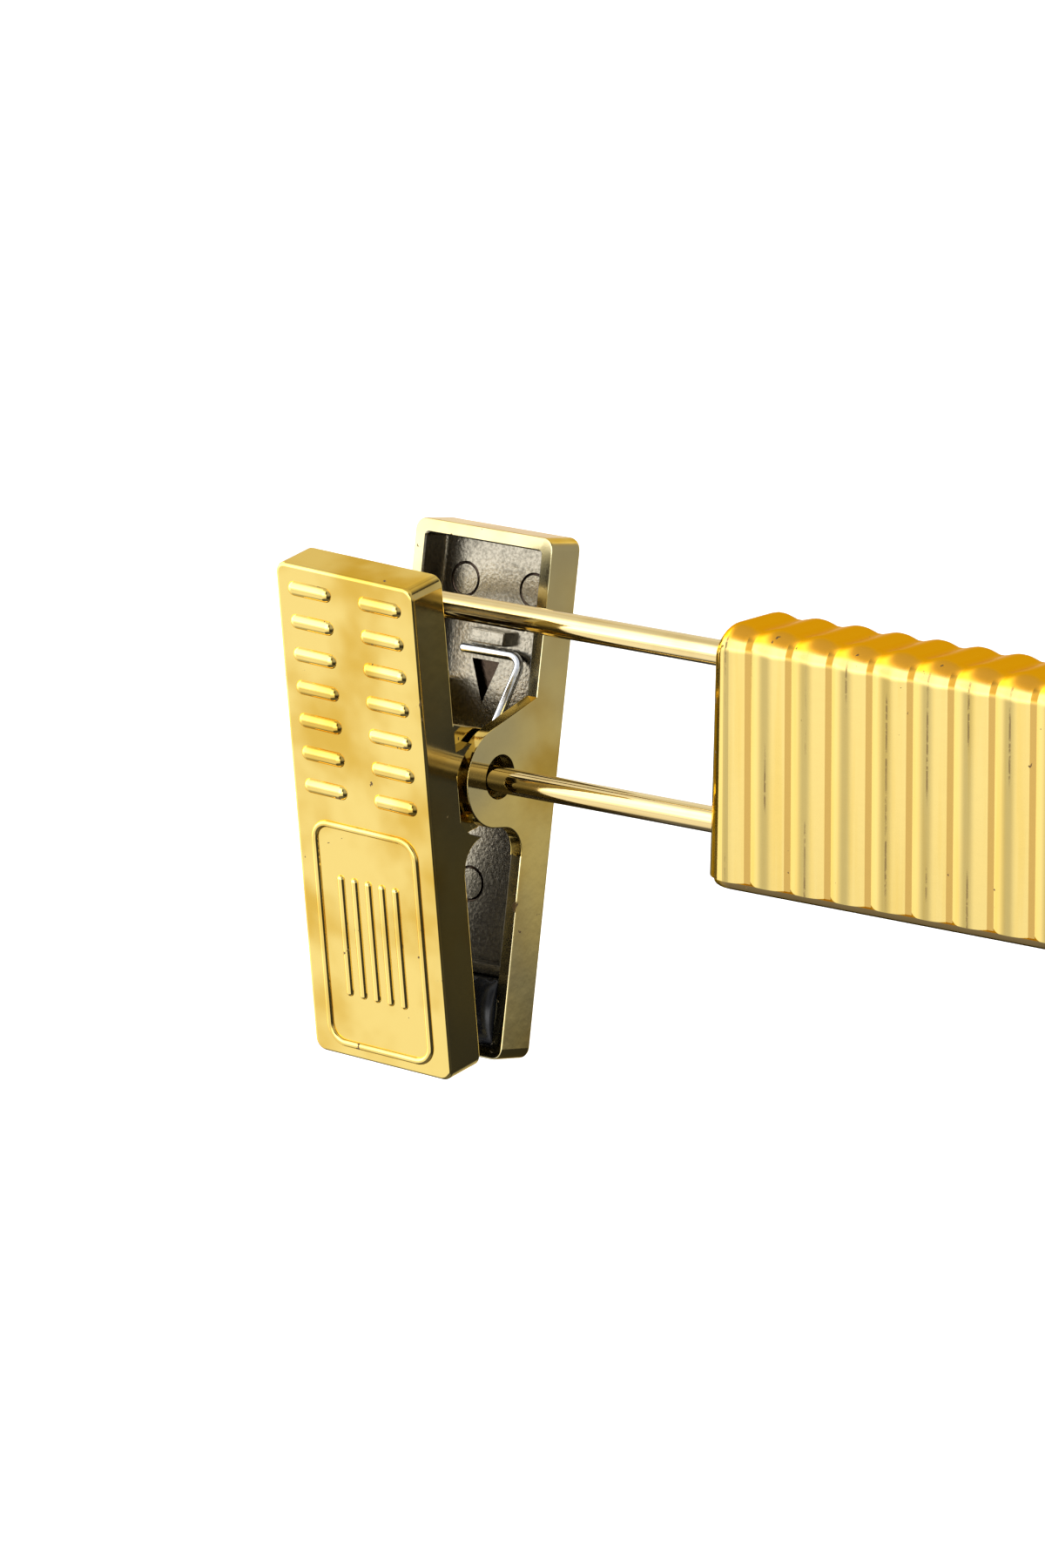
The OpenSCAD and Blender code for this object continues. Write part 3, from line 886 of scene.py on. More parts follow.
def shade(piece: Piece, sharp: float = 32) -> Piece:
    """Shades a piece smooth, with its flat faces kept flat.

    Args:
        piece: The piece.
        sharp: The angle in degrees from which an edge stays sharp.

    Returns:
        The piece.
    """
    mesh = piece.data
    mesh.polygons.foreach_set("use_smooth", [True] * len(mesh.polygons))
    mesh.set_sharp_from_angle(angle=math.radians(sharp))
    weighted = piece.modifiers.new("flat_faces", "WEIGHTED_NORMAL")
    weighted.keep_sharp = True
    return piece


def join_solids(base: Piece, steps: Sequence[tuple[str, Piece]]) -> Piece:
    """Adds solids to a base and cuts others from it, in order.

    Args:
        base: The solid to work on.
        steps: Pairs of UNION or DIFFERENCE and a solid, which is used up.

    Returns:
        The base.
    """
    for operation, tool in steps:
        cut = base.modifiers.new(tool.name, "BOOLEAN")
        cut.operation = operation
        cut.object = tool
        cut.solver = "EXACT"
    ready = base.evaluated_get(bpy.context.evaluated_depsgraph_get())
    mesh = bpy.data.meshes.new_from_object(ready)
    base.modifiers.clear()
    base.data = mesh
    for _, tool in steps:
        bpy.data.objects.remove(tool)
    return base


def carry(piece: Piece, body: str, node: str) -> None:
    """Sets a piece on its body, in place of one of the frame's nodes.

    Args:
        piece: The piece.
        body: The body that it rides on.
        node: The frame's node that it stands for.
    """
    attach(piece, body)
    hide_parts(node)
    LOG.info("%s rides on %s", piece.name, body)


def dress(nodes: Sequence[str], material: Material) -> None:
    """Gives nodes that stay from the frame a finish.

    Args:
        nodes: Their names.
        material: The finish.
    """
    for name in nodes:
        mesh = frame["nodes"][name].data
        mesh.materials.clear()
        mesh.materials.append(material)
        LOG.info("%s stays from the frame", name)


# The hanger


@dataclass
class Bar:
    """The ribbed cover and its base plate."""

    palette: Palette
    ribs: Ribs = Ribs()
    rib_steps: int = 5
    plan_r: float = 5.0
    plan_steps: int = 10
    corner_r: float = 5.0
    corner_steps: int = 10
    edge_r: float = 3.0
    edge_steps: int = 8
    draft: float = 1.2
    settle: float = 9.0
    wall: float = 1.6
    end_wall: float = 2.6
    fit: float = 0.05
    bore_run: float = 5.0
    base_seam: float = 0.18
    base_round: float = 0.5
    base_steps: int = 4
    screw_head: float = 2.45
    screw_seat: float = 2.0

    def __post_init__(self) -> None:
        """Reads the bar's box from the frame."""
        self.low, self.high = node_box("bar_cover")
        self.half = self.high.x
        self.depth = self.high.y
        self.crest_end = self.ribs.reach

    def rib_depth(self, x: float, upright: float) -> float:
        """How far the ribs lie below their crests at one place along the bar.

        Args:
            x: The place along the bar.
            upright: 1 on the front and back, where grooves part the ribs, and 0 on the waved top.

        Returns:
            The depth.
        """
        if abs(x) > self.crest_end:
            return 0.0
        turns = (x - self.crest_end) / self.ribs.pitch
        off = abs(turns - round(turns)) * self.ribs.pitch
        grooved = min(off / self.ribs.flank, 1.0) ** 2
        waved = math.sin(off / self.ribs.pitch * math.pi) ** 2
        return self.ribs.rise * (upright * grooved + (1 - upright) * waved)

    def inward(self, point: Vector) -> Vector:
        """The way into the bar.

        Args:
            point: A point on its front, top or back.

        Returns:
            The direction there.
        """
        core = self.depth - self.edge_r
        shoulder = self.high.z - self.edge_r
        side = math.copysign(max(abs(point.y) - core, 0.0), point.y)
        out = Vector((0, side, max(point.z - shoulder, 0.0)))
        return -out.normalized()

    def shaped(self, point: Vector) -> Vector:
        """Moves a point of the plain block to the ribbed bar with its round ends.

        Args:
            point: The point.

        Returns:
            Its new place.
        """
        inward = self.inward(point)
        moved = point + inward * self.rib_depth(point.x, abs(inward.y))
        past = max(abs(moved.x) - (self.half - self.corner_r), 0.0)
        drop = self.corner_r - math.sqrt(max(self.corner_r ** 2 - past ** 2, 0.0))
        moved.z -= drop * max(moved.z - self.high.z + self.settle, 0.0) / self.settle
        rise = (moved.z - self.low.z) / (self.high.z - self.low.z)
        share = max(abs(moved.x) - self.crest_end, 0.0) / (self.half - self.crest_end)
        moved.x -= math.copysign(self.draft * rise * share, moved.x)
        return moved

    def slices(self) -> list[float]:
        """Where the plain block is cut along its length, so that ribs and round ends can be shaped.

        Returns:
            The places, from the middle of the bar.
        """
        levels = []
        steps = range(-self.rib_steps, self.rib_steps + 1)
        for rib in range(round(2 * self.crest_end / self.ribs.pitch) + 1):
            crest = rib * self.ribs.pitch - self.crest_end
            levels += [crest + self.ribs.flank * step / self.rib_steps for step in steps]
        for i in range(1, self.corner_steps):
            end = self.half - self.corner_r + self.corner_r * math.cos(i / self.corner_steps * QUARTER)
            levels += [end, -end]
        return levels

    def cover(self) -> Piece:
        """Builds the hollow ribbed cover.

        Returns:
            The cover.
        """
        bm = bmesh.new()
        box(bm, self.low, self.high)
        bevel(bm, edges_where(bm, along(2)), self.plan_r, self.plan_steps)
        bevel(bm, edges_where(bm, at_level(2, self.high.z)), self.edge_r, self.edge_steps)
        slice_at(bm, X_AXIS, self.slices())
        for point in bm.verts:
            point.co = self.shaped(point.co)
        shell = put(bm, "ribbed_cover", [self.palette.bar])
        hollow = join_solids(shell, [("DIFFERENCE", self.room()), ("DIFFERENCE", self.bores())])
        return shade(hollow, sharp=20)

    def room(self) -> Piece:
        """Makes the room inside the cover, open to below.

        Returns:
            The cutter.
        """
        end, side = self.half - self.end_wall, self.depth - self.ribs.rise - self.wall
        top = self.high.z - self.ribs.rise - self.wall
        bm = bmesh.new()
        box(bm, (-end, -side, self.low.z - PAST), (end, side, top))
        return put(bm, "cover_room", [self.palette.bar])

    def bores(self) -> Piece:
        """Makes the bores of the two wire loops and the hook's bush.

        Returns:
            The cutter.
        """
        bm = bmesh.new()
        for side in Side:
            low, high = node_box(f"{side.label}_wire_loop")
            for level in (low.z + WIRE_R, high.z - WIRE_R):
                ends = (self.half - self.bore_run, self.half + PAST)
                near, far = (Vector((side.value * x, 0, level)) for x in ends)
                round_bar(bm, near, far, WIRE_R + self.fit)
        foot = Vector((0, 0, self.high.z - self.ribs.rise))
        round_bar(bm, foot, foot + Z_AXIS * self.bore_run, node_box("hook_bush")[1].x + self.fit)
        return put(bm, "cover_bores", [self.palette.bar])

    def base(self) -> Piece:
        """Builds the base plate with its two screw seats.

        Returns:
            The plate.
        """
        low, high = node_box("bar_base")
        bm = bmesh.new()
        inset = Vector((self.base_seam, self.base_seam, 0))
        box(bm, low + inset, Vector((high.x, high.y, self.low.z)) - inset)
        bevel(bm, edges_where(bm, along(2)), self.plan_r - self.base_seam, self.plan_steps)
        bevel(bm, edges_where(bm, at_level(2, low.z)), self.base_round, self.base_steps)
        plate = put(bm, "base_plate", [self.palette.plate])
        seats = bmesh.new()
        screw = node_box("base_screws")[1].x - self.screw_head
        for side in Side:
            seat = Vector((side.value * screw, 0, low.z))
            top = seat + Z_AXIS * self.screw_seat
            round_bar(seats, seat - Z_AXIS * PAST, top, self.screw_head + self.fit)
        cutter = put(seats, "screw_seats", [self.palette.plate])
        return shade(join_solids(plate, [("DIFFERENCE", cutter)]))

    def build(self) -> None:
        """Makes the cover and the plate."""
        carry(self.cover(), "bar", "bar_cover")
        carry(self.base(), "bar", "bar_base")


@dataclass
class WireLoop:
    """The U-bent wire at one end of the bar."""

    palette: Palette
    side: Side
    bend_r: float = 5.0
    sides: int = 28
    bend_steps: int = 14

    def build(self) -> None:
        """Bends the wire out along the lower leg and back along the upper one."""
        node = f"{self.side.label}_wire_loop"
        low, high = node_box(node)
        sign = self.side.value
        inner = min(abs(low.x), abs(high.x))
        outer = max(abs(low.x), abs(high.x)) - WIRE_R - self.bend_r
        z_low, z_high = low.z + WIRE_R, high.z - WIRE_R
        out, axis = X_AXIS * sign, Y_AXIS * -sign
        centre = Vector((sign * outer, 0, z_low + self.bend_r))
        bm = bmesh.new()
        wire = Wire(bm, Vector((sign * inner, 0, z_low)), out, WIRE_R, self.sides)
        wire.cap()
        wire.draw(out * (outer - inner))
        wire.bend(centre, axis, QUARTER, self.bend_steps)
        wire.draw(Z_AXIS * (z_high - z_low - 2 * self.bend_r))
        centre.z = z_high - self.bend_r
        wire.bend(centre, axis, QUARTER, self.bend_steps)
        wire.draw(out * (inner - outer))
        wire.cap()
        piece = shade(put(bm, f"{self.side.label}_gold_wire", [self.palette.wire]), sharp=50)
        carry(piece, "bar", node)


@dataclass
class Hook:
    """The hook, bent from one wire, and the bush that it turns in, with angles in degrees."""

    palette: Palette
    wire_r: float = 1.7
    bend_r: float = 21.5
    bend_steps: int = 72
    neck_turn: float = 72.0
    neck_steps: int = 16
    link: float = 1.5
    end: float = 205.0
    play: float = 0.08
    bush_wall: float = 1.1
    flange_rim: float = 1.5
    flange_t: float = 1.2
    flange_round: float = 0.3
    flange_steps: int = 4
    sides: int = 32
    bush_sides: int = 56

    def wire(self) -> Piece:
        """Bends the hook from the foot of its stem to its tip.

        Returns:
            The hook.
        """
        turn, tip = math.radians(self.neck_turn), math.radians(self.end)
        neck_r = (self.bend_r * math.cos(turn) - self.link * math.sin(turn)) / (1 - math.cos(turn))
        stem_top = -(self.bend_r + neck_r) * math.sin(turn) - self.link * math.cos(turn)
        foot = node_box("hook")[0].z
        bm = bmesh.new()
        wire = Wire(bm, Vector((0, 0, foot)), Z_AXIS, self.wire_r, self.sides)
        wire.cap()
        wire.draw(Z_AXIS * (stem_top - foot))
        wire.bend(Vector((neck_r, 0, stem_top)), Y_AXIS, turn, self.neck_steps)
        wire.draw(Vector((math.sin(turn), 0, math.cos(turn))) * self.link)
        wire.bend(Vector(), -Y_AXIS, turn + tip, self.bend_steps)
        wire.dome(Vector((-math.sin(tip), 0, math.cos(tip))))
        return shade(put(bm, "hook_wire", [self.palette.wire]), sharp=50)

    def bush(self) -> Piece:
        """Turns the flanged bush.

        Returns:
            The bush.
        """
        low, high = node_box("hook_bush")
        bore = self.wire_r + self.play
        tube = bore + self.bush_wall
        rim = tube + self.flange_rim
        foot, flange, top = low.z, high.z - self.flange_t, high.z
        corners = [(bore, foot), (tube, foot), (tube, flange), (rim, flange), (rim, top), (bore, top)]
        bm = bmesh.new()
        points = [bm.verts.new((x, 0, z)) for x, z in corners]
        outline = [bm.edges.new((a, b)) for a, b in zip(points, points[1:] + points[:1])]
        bmesh.ops.spin(
            bm, geom=[*points, *outline], cent=Vector(), axis=Z_AXIS, angle=2 * math.pi,
            steps=self.bush_sides, use_merge=True, use_duplicate=False,
        )
        bmesh.ops.recalc_face_normals(bm, faces=bm.faces)
        bevel(bm, edges_where(bm, at_level(2, top)), self.flange_round, self.flange_steps)
        # The bush shares the plate's dark painted shade
        return shade(put(bm, "stem_bush", [self.palette.plate]))

    def build(self) -> None:
        """Makes the hook and its bush."""
        carry(self.wire(), "hook", "hook")
        carry(self.bush(), "bar", "hook_bush")


@dataclass
class ClipHalf:
    """One moulded half of a clip, with its hinge hole at the origin and its outer face towards +Y."""

    palette: Palette
    # The block and its edges
    width: float = 20.0
    height: float = 60.0
    depth: float = 5.4
    wall: float = 1.6
    corner_r: float = 1.4
    corner_steps: int = 7
    edge_r: float = 0.5
    edge_steps: int = 6
    rim_round: float = 0.2
    # The tray inside it
    tray_corner_r: float = 0.5
    tray_steps: int = 3
    tray_floor_r: float = 0.35
    lip: float = 0.18
    # The hinge's place, and its loose hole with the degrees that it can roll
    pivot_drop: float = 27.1
    pivot_out: float = 5.35
    hole_play: float = 1.1
    hole_sides: int = 72
    fit: float = 0.05
    roll_room: float = 2.1
    tip_gap: float = 2.0
    # The ears
    ear_r: float = 5.9
    ear_hole: float = 5.2
    ear_top: float = 9.0
    ear_fillet: float = 3.4
    ear_lap: float = 2.28
    ear_round: float = 0.14
    nose_gap: float = 0.3
    nose_steps: int = 28
    fillet_steps: int = 12
    shoulder_drop: float = 0.2
    root_round: float = 0.1
    # How far blocks run into a wall and into the floor
    bite: float = 0.2
    sink: float = 0.4
    # The grip bars
    grip_rows: int = 7
    grip_pitch: float = 4.0
    grip_len: float = 6.4
    grip_r: float = 1.0
    grip_columns: float = 10.2
    grip_first: float = 2.9
    grip_rise: float = 0.6
    grip_sides: int = 20
    # The panel with its bead and reeds
    panel_w: float = 15.6
    panel_h: float = 28.0
    panel_low: float = 1.3
    panel_r: float = 2.6
    bead_r: float = 0.45
    bead_rise: float = 0.4
    bead_steps: int = 8
    reed_count: int = 5
    reed_len: float = 15.0
    reed_pitch: float = 2.0
    reed_r: float = 0.5
    reed_sides: int = 14
    # The marks of the mould's pins
    mark_r: float = 1.9
    mark_line: float = 0.17
    mark_sides: int = 8
    mark_steps: int = 40
    mark_out: float = 5.0
    mark_drop: float = 6.6
    mark_low: float = 14.0
    # The spring's reach, and the pocket and nub at its tip
    arm_reach: float = 12.8
    pocket_w: float = 4.0
    pocket_h: float = 5.0
    pocket_off: float = -0.9
    pocket_drop: float = 1.1
    pocket_depth: float = 0.9
    nub_w: float = 5.2
    nub_h: float = 1.7
    nub_rise: float = 1.5
    nub_gap: float = 0.85
    nub_round: float = 0.25
    # The pad's height, and the rib above it
    pad_h: float = 7.6
    rib_gap: float = 0.1
    rib_t: float = 1.2
    rib_back: float = 1.4
    rib_inset: float = 0.5
    rib_round: float = 0.2

    def __post_init__(self) -> None:
        """Works out the levels of the half."""
        self.half_w = self.width / 2
        self.jaw_len = self.height - self.pivot_drop
        self.rim_y = self.pivot_out
        self.face_y = self.rim_y + self.depth
        self.floor_y = self.face_y - self.wall
        self.root_y = self.floor_y + self.sink
        self.ear_low = -self.ear_r - self.ear_fillet
        self.panel_z = -self.jaw_len + self.panel_low + self.panel_h / 2
        lift = self.half_w * math.sin(math.radians(self.roll_room))
        self.hole_off = math.sqrt(self.hole_play ** 2 - lift ** 2) - self.fit
        reach = math.hypot(self.rim_y, self.jaw_len)
        spread = math.acos((self.tip_gap / 2 - self.hole_off) / reach)
        self.tilt = spread - math.atan2(self.jaw_len, self.rim_y)
        self.slots = [self.palette.clip, self.palette.tray, self.palette.pocket, self.palette.rim]

    def seat(self, leaf: Leaf, roll: float = 0.0) -> Matrix:
        """Places a half about its clip's hinge.

        Args:
            leaf: Which half.
            roll: The half's roll in its loose holes, in degrees.

        Returns:
            The place, in millimetres from the hinge.
        """
        rear = Matrix.Translation((0, self.hole_off, 0)) @ Matrix.Rotation(-self.tilt, 4, "X")
        if leaf is Leaf.REAR:
            return rear
        return Matrix.Rotation(math.radians(roll), 4, "Y") @ Matrix.Rotation(math.pi, 4, "Z") @ rear

    def solid(self, bm: Mesh, name: str, coat: Coat = Coat.OUTSIDE) -> Piece:
        """Makes a solid that joins the half or cuts it.

        Args:
            bm: The solid's mesh.
            name: Its name.
            coat: The half's finish that it has.

        Returns:
            The solid.
        """
        for face in bm.faces:
            face.material_index = coat.value
        return put(bm, name, self.slots)

    def block(self, name: str, low: Sequence[float], high: Sequence[float], rounding: float) -> Piece:
        """Makes a small block inside the tray, with round edges.

        Args:
            name: Its name.
            low: Its lowest corner.
            high: Its highest corner.
            rounding: The radius of its edges.

        Returns:
            The block.
        """
        bm = bmesh.new()
        box(bm, low, high)
        bevel(bm, list(bm.edges), rounding)
        return self.solid(bm, name, Coat.INSIDE)

    def shell(self) -> Piece:
        """Makes the outer block of the half.

        Returns:
            The block.
        """
        bm = bmesh.new()
        low = (-self.half_w, self.rim_y, -self.jaw_len)
        high = (self.half_w, self.face_y, self.pivot_drop)
        box(bm, low, high)
        bevel(bm, edges_where(bm, along(1)), self.corner_r, self.corner_steps)
        bevel(bm, edges_where(bm, at_level(1, self.face_y)), self.edge_r, self.edge_steps)
        bevel(bm, edges_where(bm, at_level(1, self.rim_y)), self.rim_round)
        shell = self.solid(bm, "half_shell")
        for face in shell.data.polygons:
            if face.center.y < (self.rim_y + self.rim_round / 2) * MM:
                face.material_index = Coat.RIM.value
        return shell

    def hollow(self) -> Piece:
        """Makes the room inside the tray, with a lip that eases its mouth.

        Returns:
            The cutter.
        """
        bm = bmesh.new()
        side = self.half_w - self.wall
        low = (-side, self.rim_y - PAST, -self.jaw_len + self.wall)
        high = (side, self.floor_y, self.pivot_drop - self.wall)
        box(bm, low, high)
        bevel(bm, edges_where(bm, along(1)), self.tray_corner_r, self.tray_steps)
        bevel(bm, edges_where(bm, at_level(1, self.floor_y)), self.tray_floor_r)
        slice_at(bm, Y_AXIS, [self.rim_y + self.lip])
        mid = (self.pivot_drop - self.jaw_len) / 2
        for point in bm.verts:
            if point.co.y < self.rim_y:
                point.co.x += math.copysign(PAST + self.lip, point.co.x)
                point.co.z += math.copysign(PAST + self.lip, point.co.z - mid)
        return self.solid(bm, "tray_room", Coat.INSIDE)

    def ear_outline(self) -> list[tuple[float, float]]:
        """Draws the side outline of an ear: its round nose, the fillet below it and its root.

        Returns:
            Points in Y and Z about the ear's hole.
        """
        corner = math.hypot(self.rim_y, self.ear_top)
        touch = math.atan2(self.ear_top, self.rim_y) + math.acos(self.ear_r / corner)
        sweep = 3 * QUARTER - touch
        points = []
        for i in range(self.nose_steps + 1):
            angle = touch + sweep * i / self.nose_steps
            points.append((self.ear_r * math.cos(angle), self.ear_r * math.sin(angle)))
        for i in range(self.fillet_steps + 1):
            angle = QUARTER * (1 - i / self.fillet_steps)
            y = self.rim_y - self.ear_fillet * (1 - math.cos(angle))
            points.append((y, self.ear_low + self.ear_fillet * math.sin(angle)))
        root = [(self.root_y, self.ear_low), (self.root_y, self.ear_top)]
        return points + root + [(self.rim_y, self.ear_top)]

    def ear(self, name: str, start: float, end: float) -> Piece:
        """Makes an ear plate.

        Args:
            name: Its name.
            start: Where it starts along X.
            end: Where it ends.

        Returns:
            The plate.
        """
        bm = bmesh.new()
        slab(bm, [(start, y, z) for y, z in self.ear_outline()], X_AXIS * (end - start))
        rims = edges_where(bm, at_level(0, start)) + edges_where(bm, at_level(0, end))
        bevel(bm, rims, self.ear_round)
        return self.solid(bm, name)

    def above_shoulder(self) -> Piece:
        """Makes the room over the shoulder, in which the other half's ear swings.

        Returns:
            The cutter.
        """
        bm = bmesh.new()
        top = self.ear_r - self.shoulder_drop
        box(bm, (-self.width, -self.height, top), (self.width, self.rim_y, top + self.height))
        return self.solid(bm, "swing_room")

    def pin(self, name: str, radius: float, start: float, end: float) -> Piece:
        """Makes a round bar along X about the hinge.

        Args:
            name: Its name.
            radius: Its radius.
            start: Where it starts.
            end: Where it ends.

        Returns:
            The bar.
        """
        bm = bmesh.new()
        round_bar(bm, X_AXIS * start, X_AXIS * end, radius, self.hole_sides)
        return self.solid(bm, name, Coat.INSIDE)

    def pocket(self) -> Piece:
        """Makes the three-cornered pocket in the tray's floor, under the spring's tip.

        Returns:
            The cutter.
        """
        bm = bmesh.new()
        high = self.arm_reach - self.pocket_drop
        left, right = self.pocket_off - self.pocket_w / 2, self.pocket_off + self.pocket_w / 2
        corners = [(left, high), (right, high), (self.pocket_off, high - self.pocket_h)]
        outline = [(x, self.floor_y - PAST, z) for x, z in corners]
        slab(bm, outline, Y_AXIS * (PAST + self.pocket_depth))
        # The pocket's walls and floor are painted as shade
        return self.solid(bm, "tray_pocket", Coat.POCKET)

    def marks(self) -> Piece:
        """Makes the round marks that the mould's pins leave in the tray's floor.

        Returns:
            The cutter.
        """
        bm = bmesh.new()
        high = self.pivot_drop - self.mark_drop
        for x, z in ((-self.mark_out, high), (self.mark_out, high), (0, -self.mark_low)):
            centre = Vector((x, self.floor_y, z))
            line = Wire(bm, centre + X_AXIS * self.mark_r, Z_AXIS, self.mark_line, self.mark_sides)
            line.bend(centre, -Y_AXIS, 2 * math.pi, self.mark_steps)
        # The rings are painted as shade
        return self.solid(bm, "mould_marks", Coat.POCKET)

    def bead(self, bm: Mesh) -> None:
        """Adds the round bead that frames the panel.

        Args:
            bm: The mesh of the face's relief.
        """
        level = self.face_y + self.bead_rise - self.bead_r
        turn_r = self.panel_r - self.bead_r
        wide, tall = self.panel_w / 2 - self.panel_r, self.panel_h / 2 - self.panel_r
        start = Vector((wide + turn_r, level, self.panel_z - tall))
        bead = Wire(bm, start, Z_AXIS, self.bead_r, self.reed_sides)
        half_runs = (Z_AXIS * tall, -X_AXIS * wide, -Z_AXIS * tall, X_AXIS * wide)
        corners = ((1, 1), (-1, 1), (-1, -1), (1, -1))
        for half_run, (across, up) in zip(half_runs, corners):
            bead.draw(half_run * 2)
            centre = Vector((across * wide, level, self.panel_z + up * tall))
            bead.bend(centre, -Y_AXIS, QUARTER, self.bead_steps)

    def relief(self) -> Piece:
        """Makes the grip bars, the bead and the reeds of the outer face.

        Returns:
            The relief.
        """
        bm = bmesh.new()
        level = self.face_y + self.grip_rise - self.grip_r
        for row in range(self.grip_rows):
            z = self.pivot_drop - self.grip_first - row * self.grip_pitch
            for side in (-1, 1):
                middle = Vector((side * self.grip_columns / 2, level, z))
                rod(bm, middle, X_AXIS, self.grip_len, self.grip_r, self.grip_sides)
        self.bead(bm)
        level = self.face_y + self.bead_rise - self.reed_r
        for i in range(self.reed_count):
            x = (i - (self.reed_count - 1) / 2) * self.reed_pitch
            middle = Vector((x, level, self.panel_z))
            rod(bm, middle, Z_AXIS, self.reed_len, self.reed_r, self.reed_sides)
        return self.solid(bm, "face_relief")

    def shoulder(self) -> Piece:
        """Makes the outer ear's stump beside the other half's nose.

        Returns:
            The stump.
        """
        start, end = -self.half_w, -self.half_w + self.wall
        room = self.pin("nose_room", self.ear_r + self.nose_gap, start - PAST, self.half_w)
        steps = [("DIFFERENCE", room), ("DIFFERENCE", self.above_shoulder())]
        return join_solids(self.ear("ear_shoulder", start, end), steps)

    def ear_root(self) -> Piece:
        """Makes the block that ties the inner ear to the wall.

        Returns:
            The block.
        """
        low = (-self.half_w + self.wall - self.bite, self.rim_y, self.ear_low)
        high = (-self.half_w + self.ear_lap + self.bite, self.root_y, self.ear_top)
        return self.block("ear_root", low, high, self.root_round)

    def nub(self) -> Piece:
        """Makes the nub that keeps the spring's tip from sliding up.

        Returns:
            The nub.
        """
        foot = self.arm_reach + self.nub_gap
        low = (-self.nub_w / 2, self.floor_y - self.nub_rise, foot)
        high = (self.nub_w / 2, self.root_y, foot + self.nub_h)
        return self.block("spring_nub", low, high, self.nub_round)

    def cross_rib(self) -> Piece:
        """Makes the rib above the rubber pad.

        Returns:
            The rib.
        """
        side = self.half_w - self.rib_inset
        foot = -self.jaw_len + self.wall + self.pad_h + self.rib_gap
        low = (-side, self.rim_y + self.rib_back, foot)
        high = (side, self.root_y, foot + self.rib_t)
        return self.block("cross_rib", low, high, self.rib_round)

    def build(self) -> Piece:
        """Joins the half's solids into one moulding.

        Returns:
            The moulding.
        """
        outer, inner = self.half_w - self.wall, -self.half_w + self.ear_lap
        return shade(join_solids(self.shell(), [
            ("DIFFERENCE", self.hollow()),
            ("UNION", self.ear("outer_ear", outer, self.half_w)),
            ("UNION", self.ear("inner_ear", inner, inner + self.wall)),
            ("UNION", self.ear_root()),
            ("UNION", self.shoulder()),
            ("UNION", self.nub()),
            ("UNION", self.cross_rib()),
            ("UNION", self.relief()),
            ("DIFFERENCE", self.pin("hinge_hole", self.ear_hole / 2, -self.width, self.width)),
            ("DIFFERENCE", self.pocket()),
            ("DIFFERENCE", self.marks()),
        ]), sharp=38)


@dataclass
class Spring:
    """The torsion spring on the lower wire, made as two wires that meet at the middle of the coil."""

    palette: Palette
    half: ClipHalf
    wire_r: float = 0.55
    coil_gap: float = 0.35
    coil_step: float = 15.0
    turns: int = 5
    side_gap: float = 0.5
    floor_gap: float = 0.3
    tip_len: float = 9.2
    tip_bend_r: float = 1.7
    tip_steps: int = 8
    blend_share: float = 0.75
    sides: int = 14

    def __post_init__(self) -> None:
        """Works out where the arms leave the coil."""
        half = self.half
        self.coil_r = WIRE_R + self.coil_gap + self.wire_r
        self.coil_half = half.half_w - half.ear_lap - half.wall - self.wire_r - self.side_gap
        arm_y = half.floor_y - self.wire_r - self.floor_gap
        tip = half.seat(Leaf.REAR) @ Vector((0, arm_y, half.arm_reach))
        self.arm_end = Vector((self.coil_half, tip.y, tip.z))
        far = math.hypot(tip.y, tip.z)
        self.leave = math.atan2(tip.z, tip.y) - math.acos(self.coil_r / far)

    def arm(self) -> Mesh:
        """Winds the rear half of the coil and bends its arm and tip.

        Returns:
            The wire's mesh.
        """
        sweep = QUARTER + self.leave + math.pi * self.turns
        bm = bmesh.new()
        wire = Wire(bm, Z_AXIS * self.coil_r, -Y_AXIS, self.wire_r, self.sides)
        wire.cap()
        steps = math.ceil(math.degrees(sweep) / self.coil_step)
        wire.bend(Vector(), X_AXIS, sweep, steps, self.coil_half)
        run = self.arm_end - wire.middle()
        heading = run.normalized()
        wire.draw(heading * (run.length - self.tip_bend_r))
        centre = wire.middle() - X_AXIS * self.tip_bend_r
        wire.bend(centre, heading.cross(-X_AXIS).normalized(), QUARTER, self.tip_steps)
        wire.draw(-X_AXIS * (self.tip_len - self.tip_bend_r - self.wire_r))
        wire.dome(-X_AXIS)
        return bm

    def build(self, side: Side, hinge: Vector) -> None:
        """Makes both wires of one clip's spring, each turned to its half's side of the coil.

        Args:
            side: The clip's side.
            hinge: The clip's hinge, in millimetres.
        """
        lean = self.coil_r * self.blend_share
        for leaf in Leaf:
            turn = Matrix.Rotation(math.pi if leaf is Leaf.FRONT else 0.0, 4, "Z")
            place = Matrix.Translation(hinge) @ turn
            name = f"{side.label}_{leaf.value}"
            piece = put(self.arm(), f"{name}_spring_wire", [self.palette.spring], place)
            shade(piece, sharp=50)
            end = place @ Vector((lean, 0, self.coil_r + lean)) * MM
            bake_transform(piece)
            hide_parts(f"{side.label}_spring")
            LOG.info("%s bends with %s", piece.name, name)


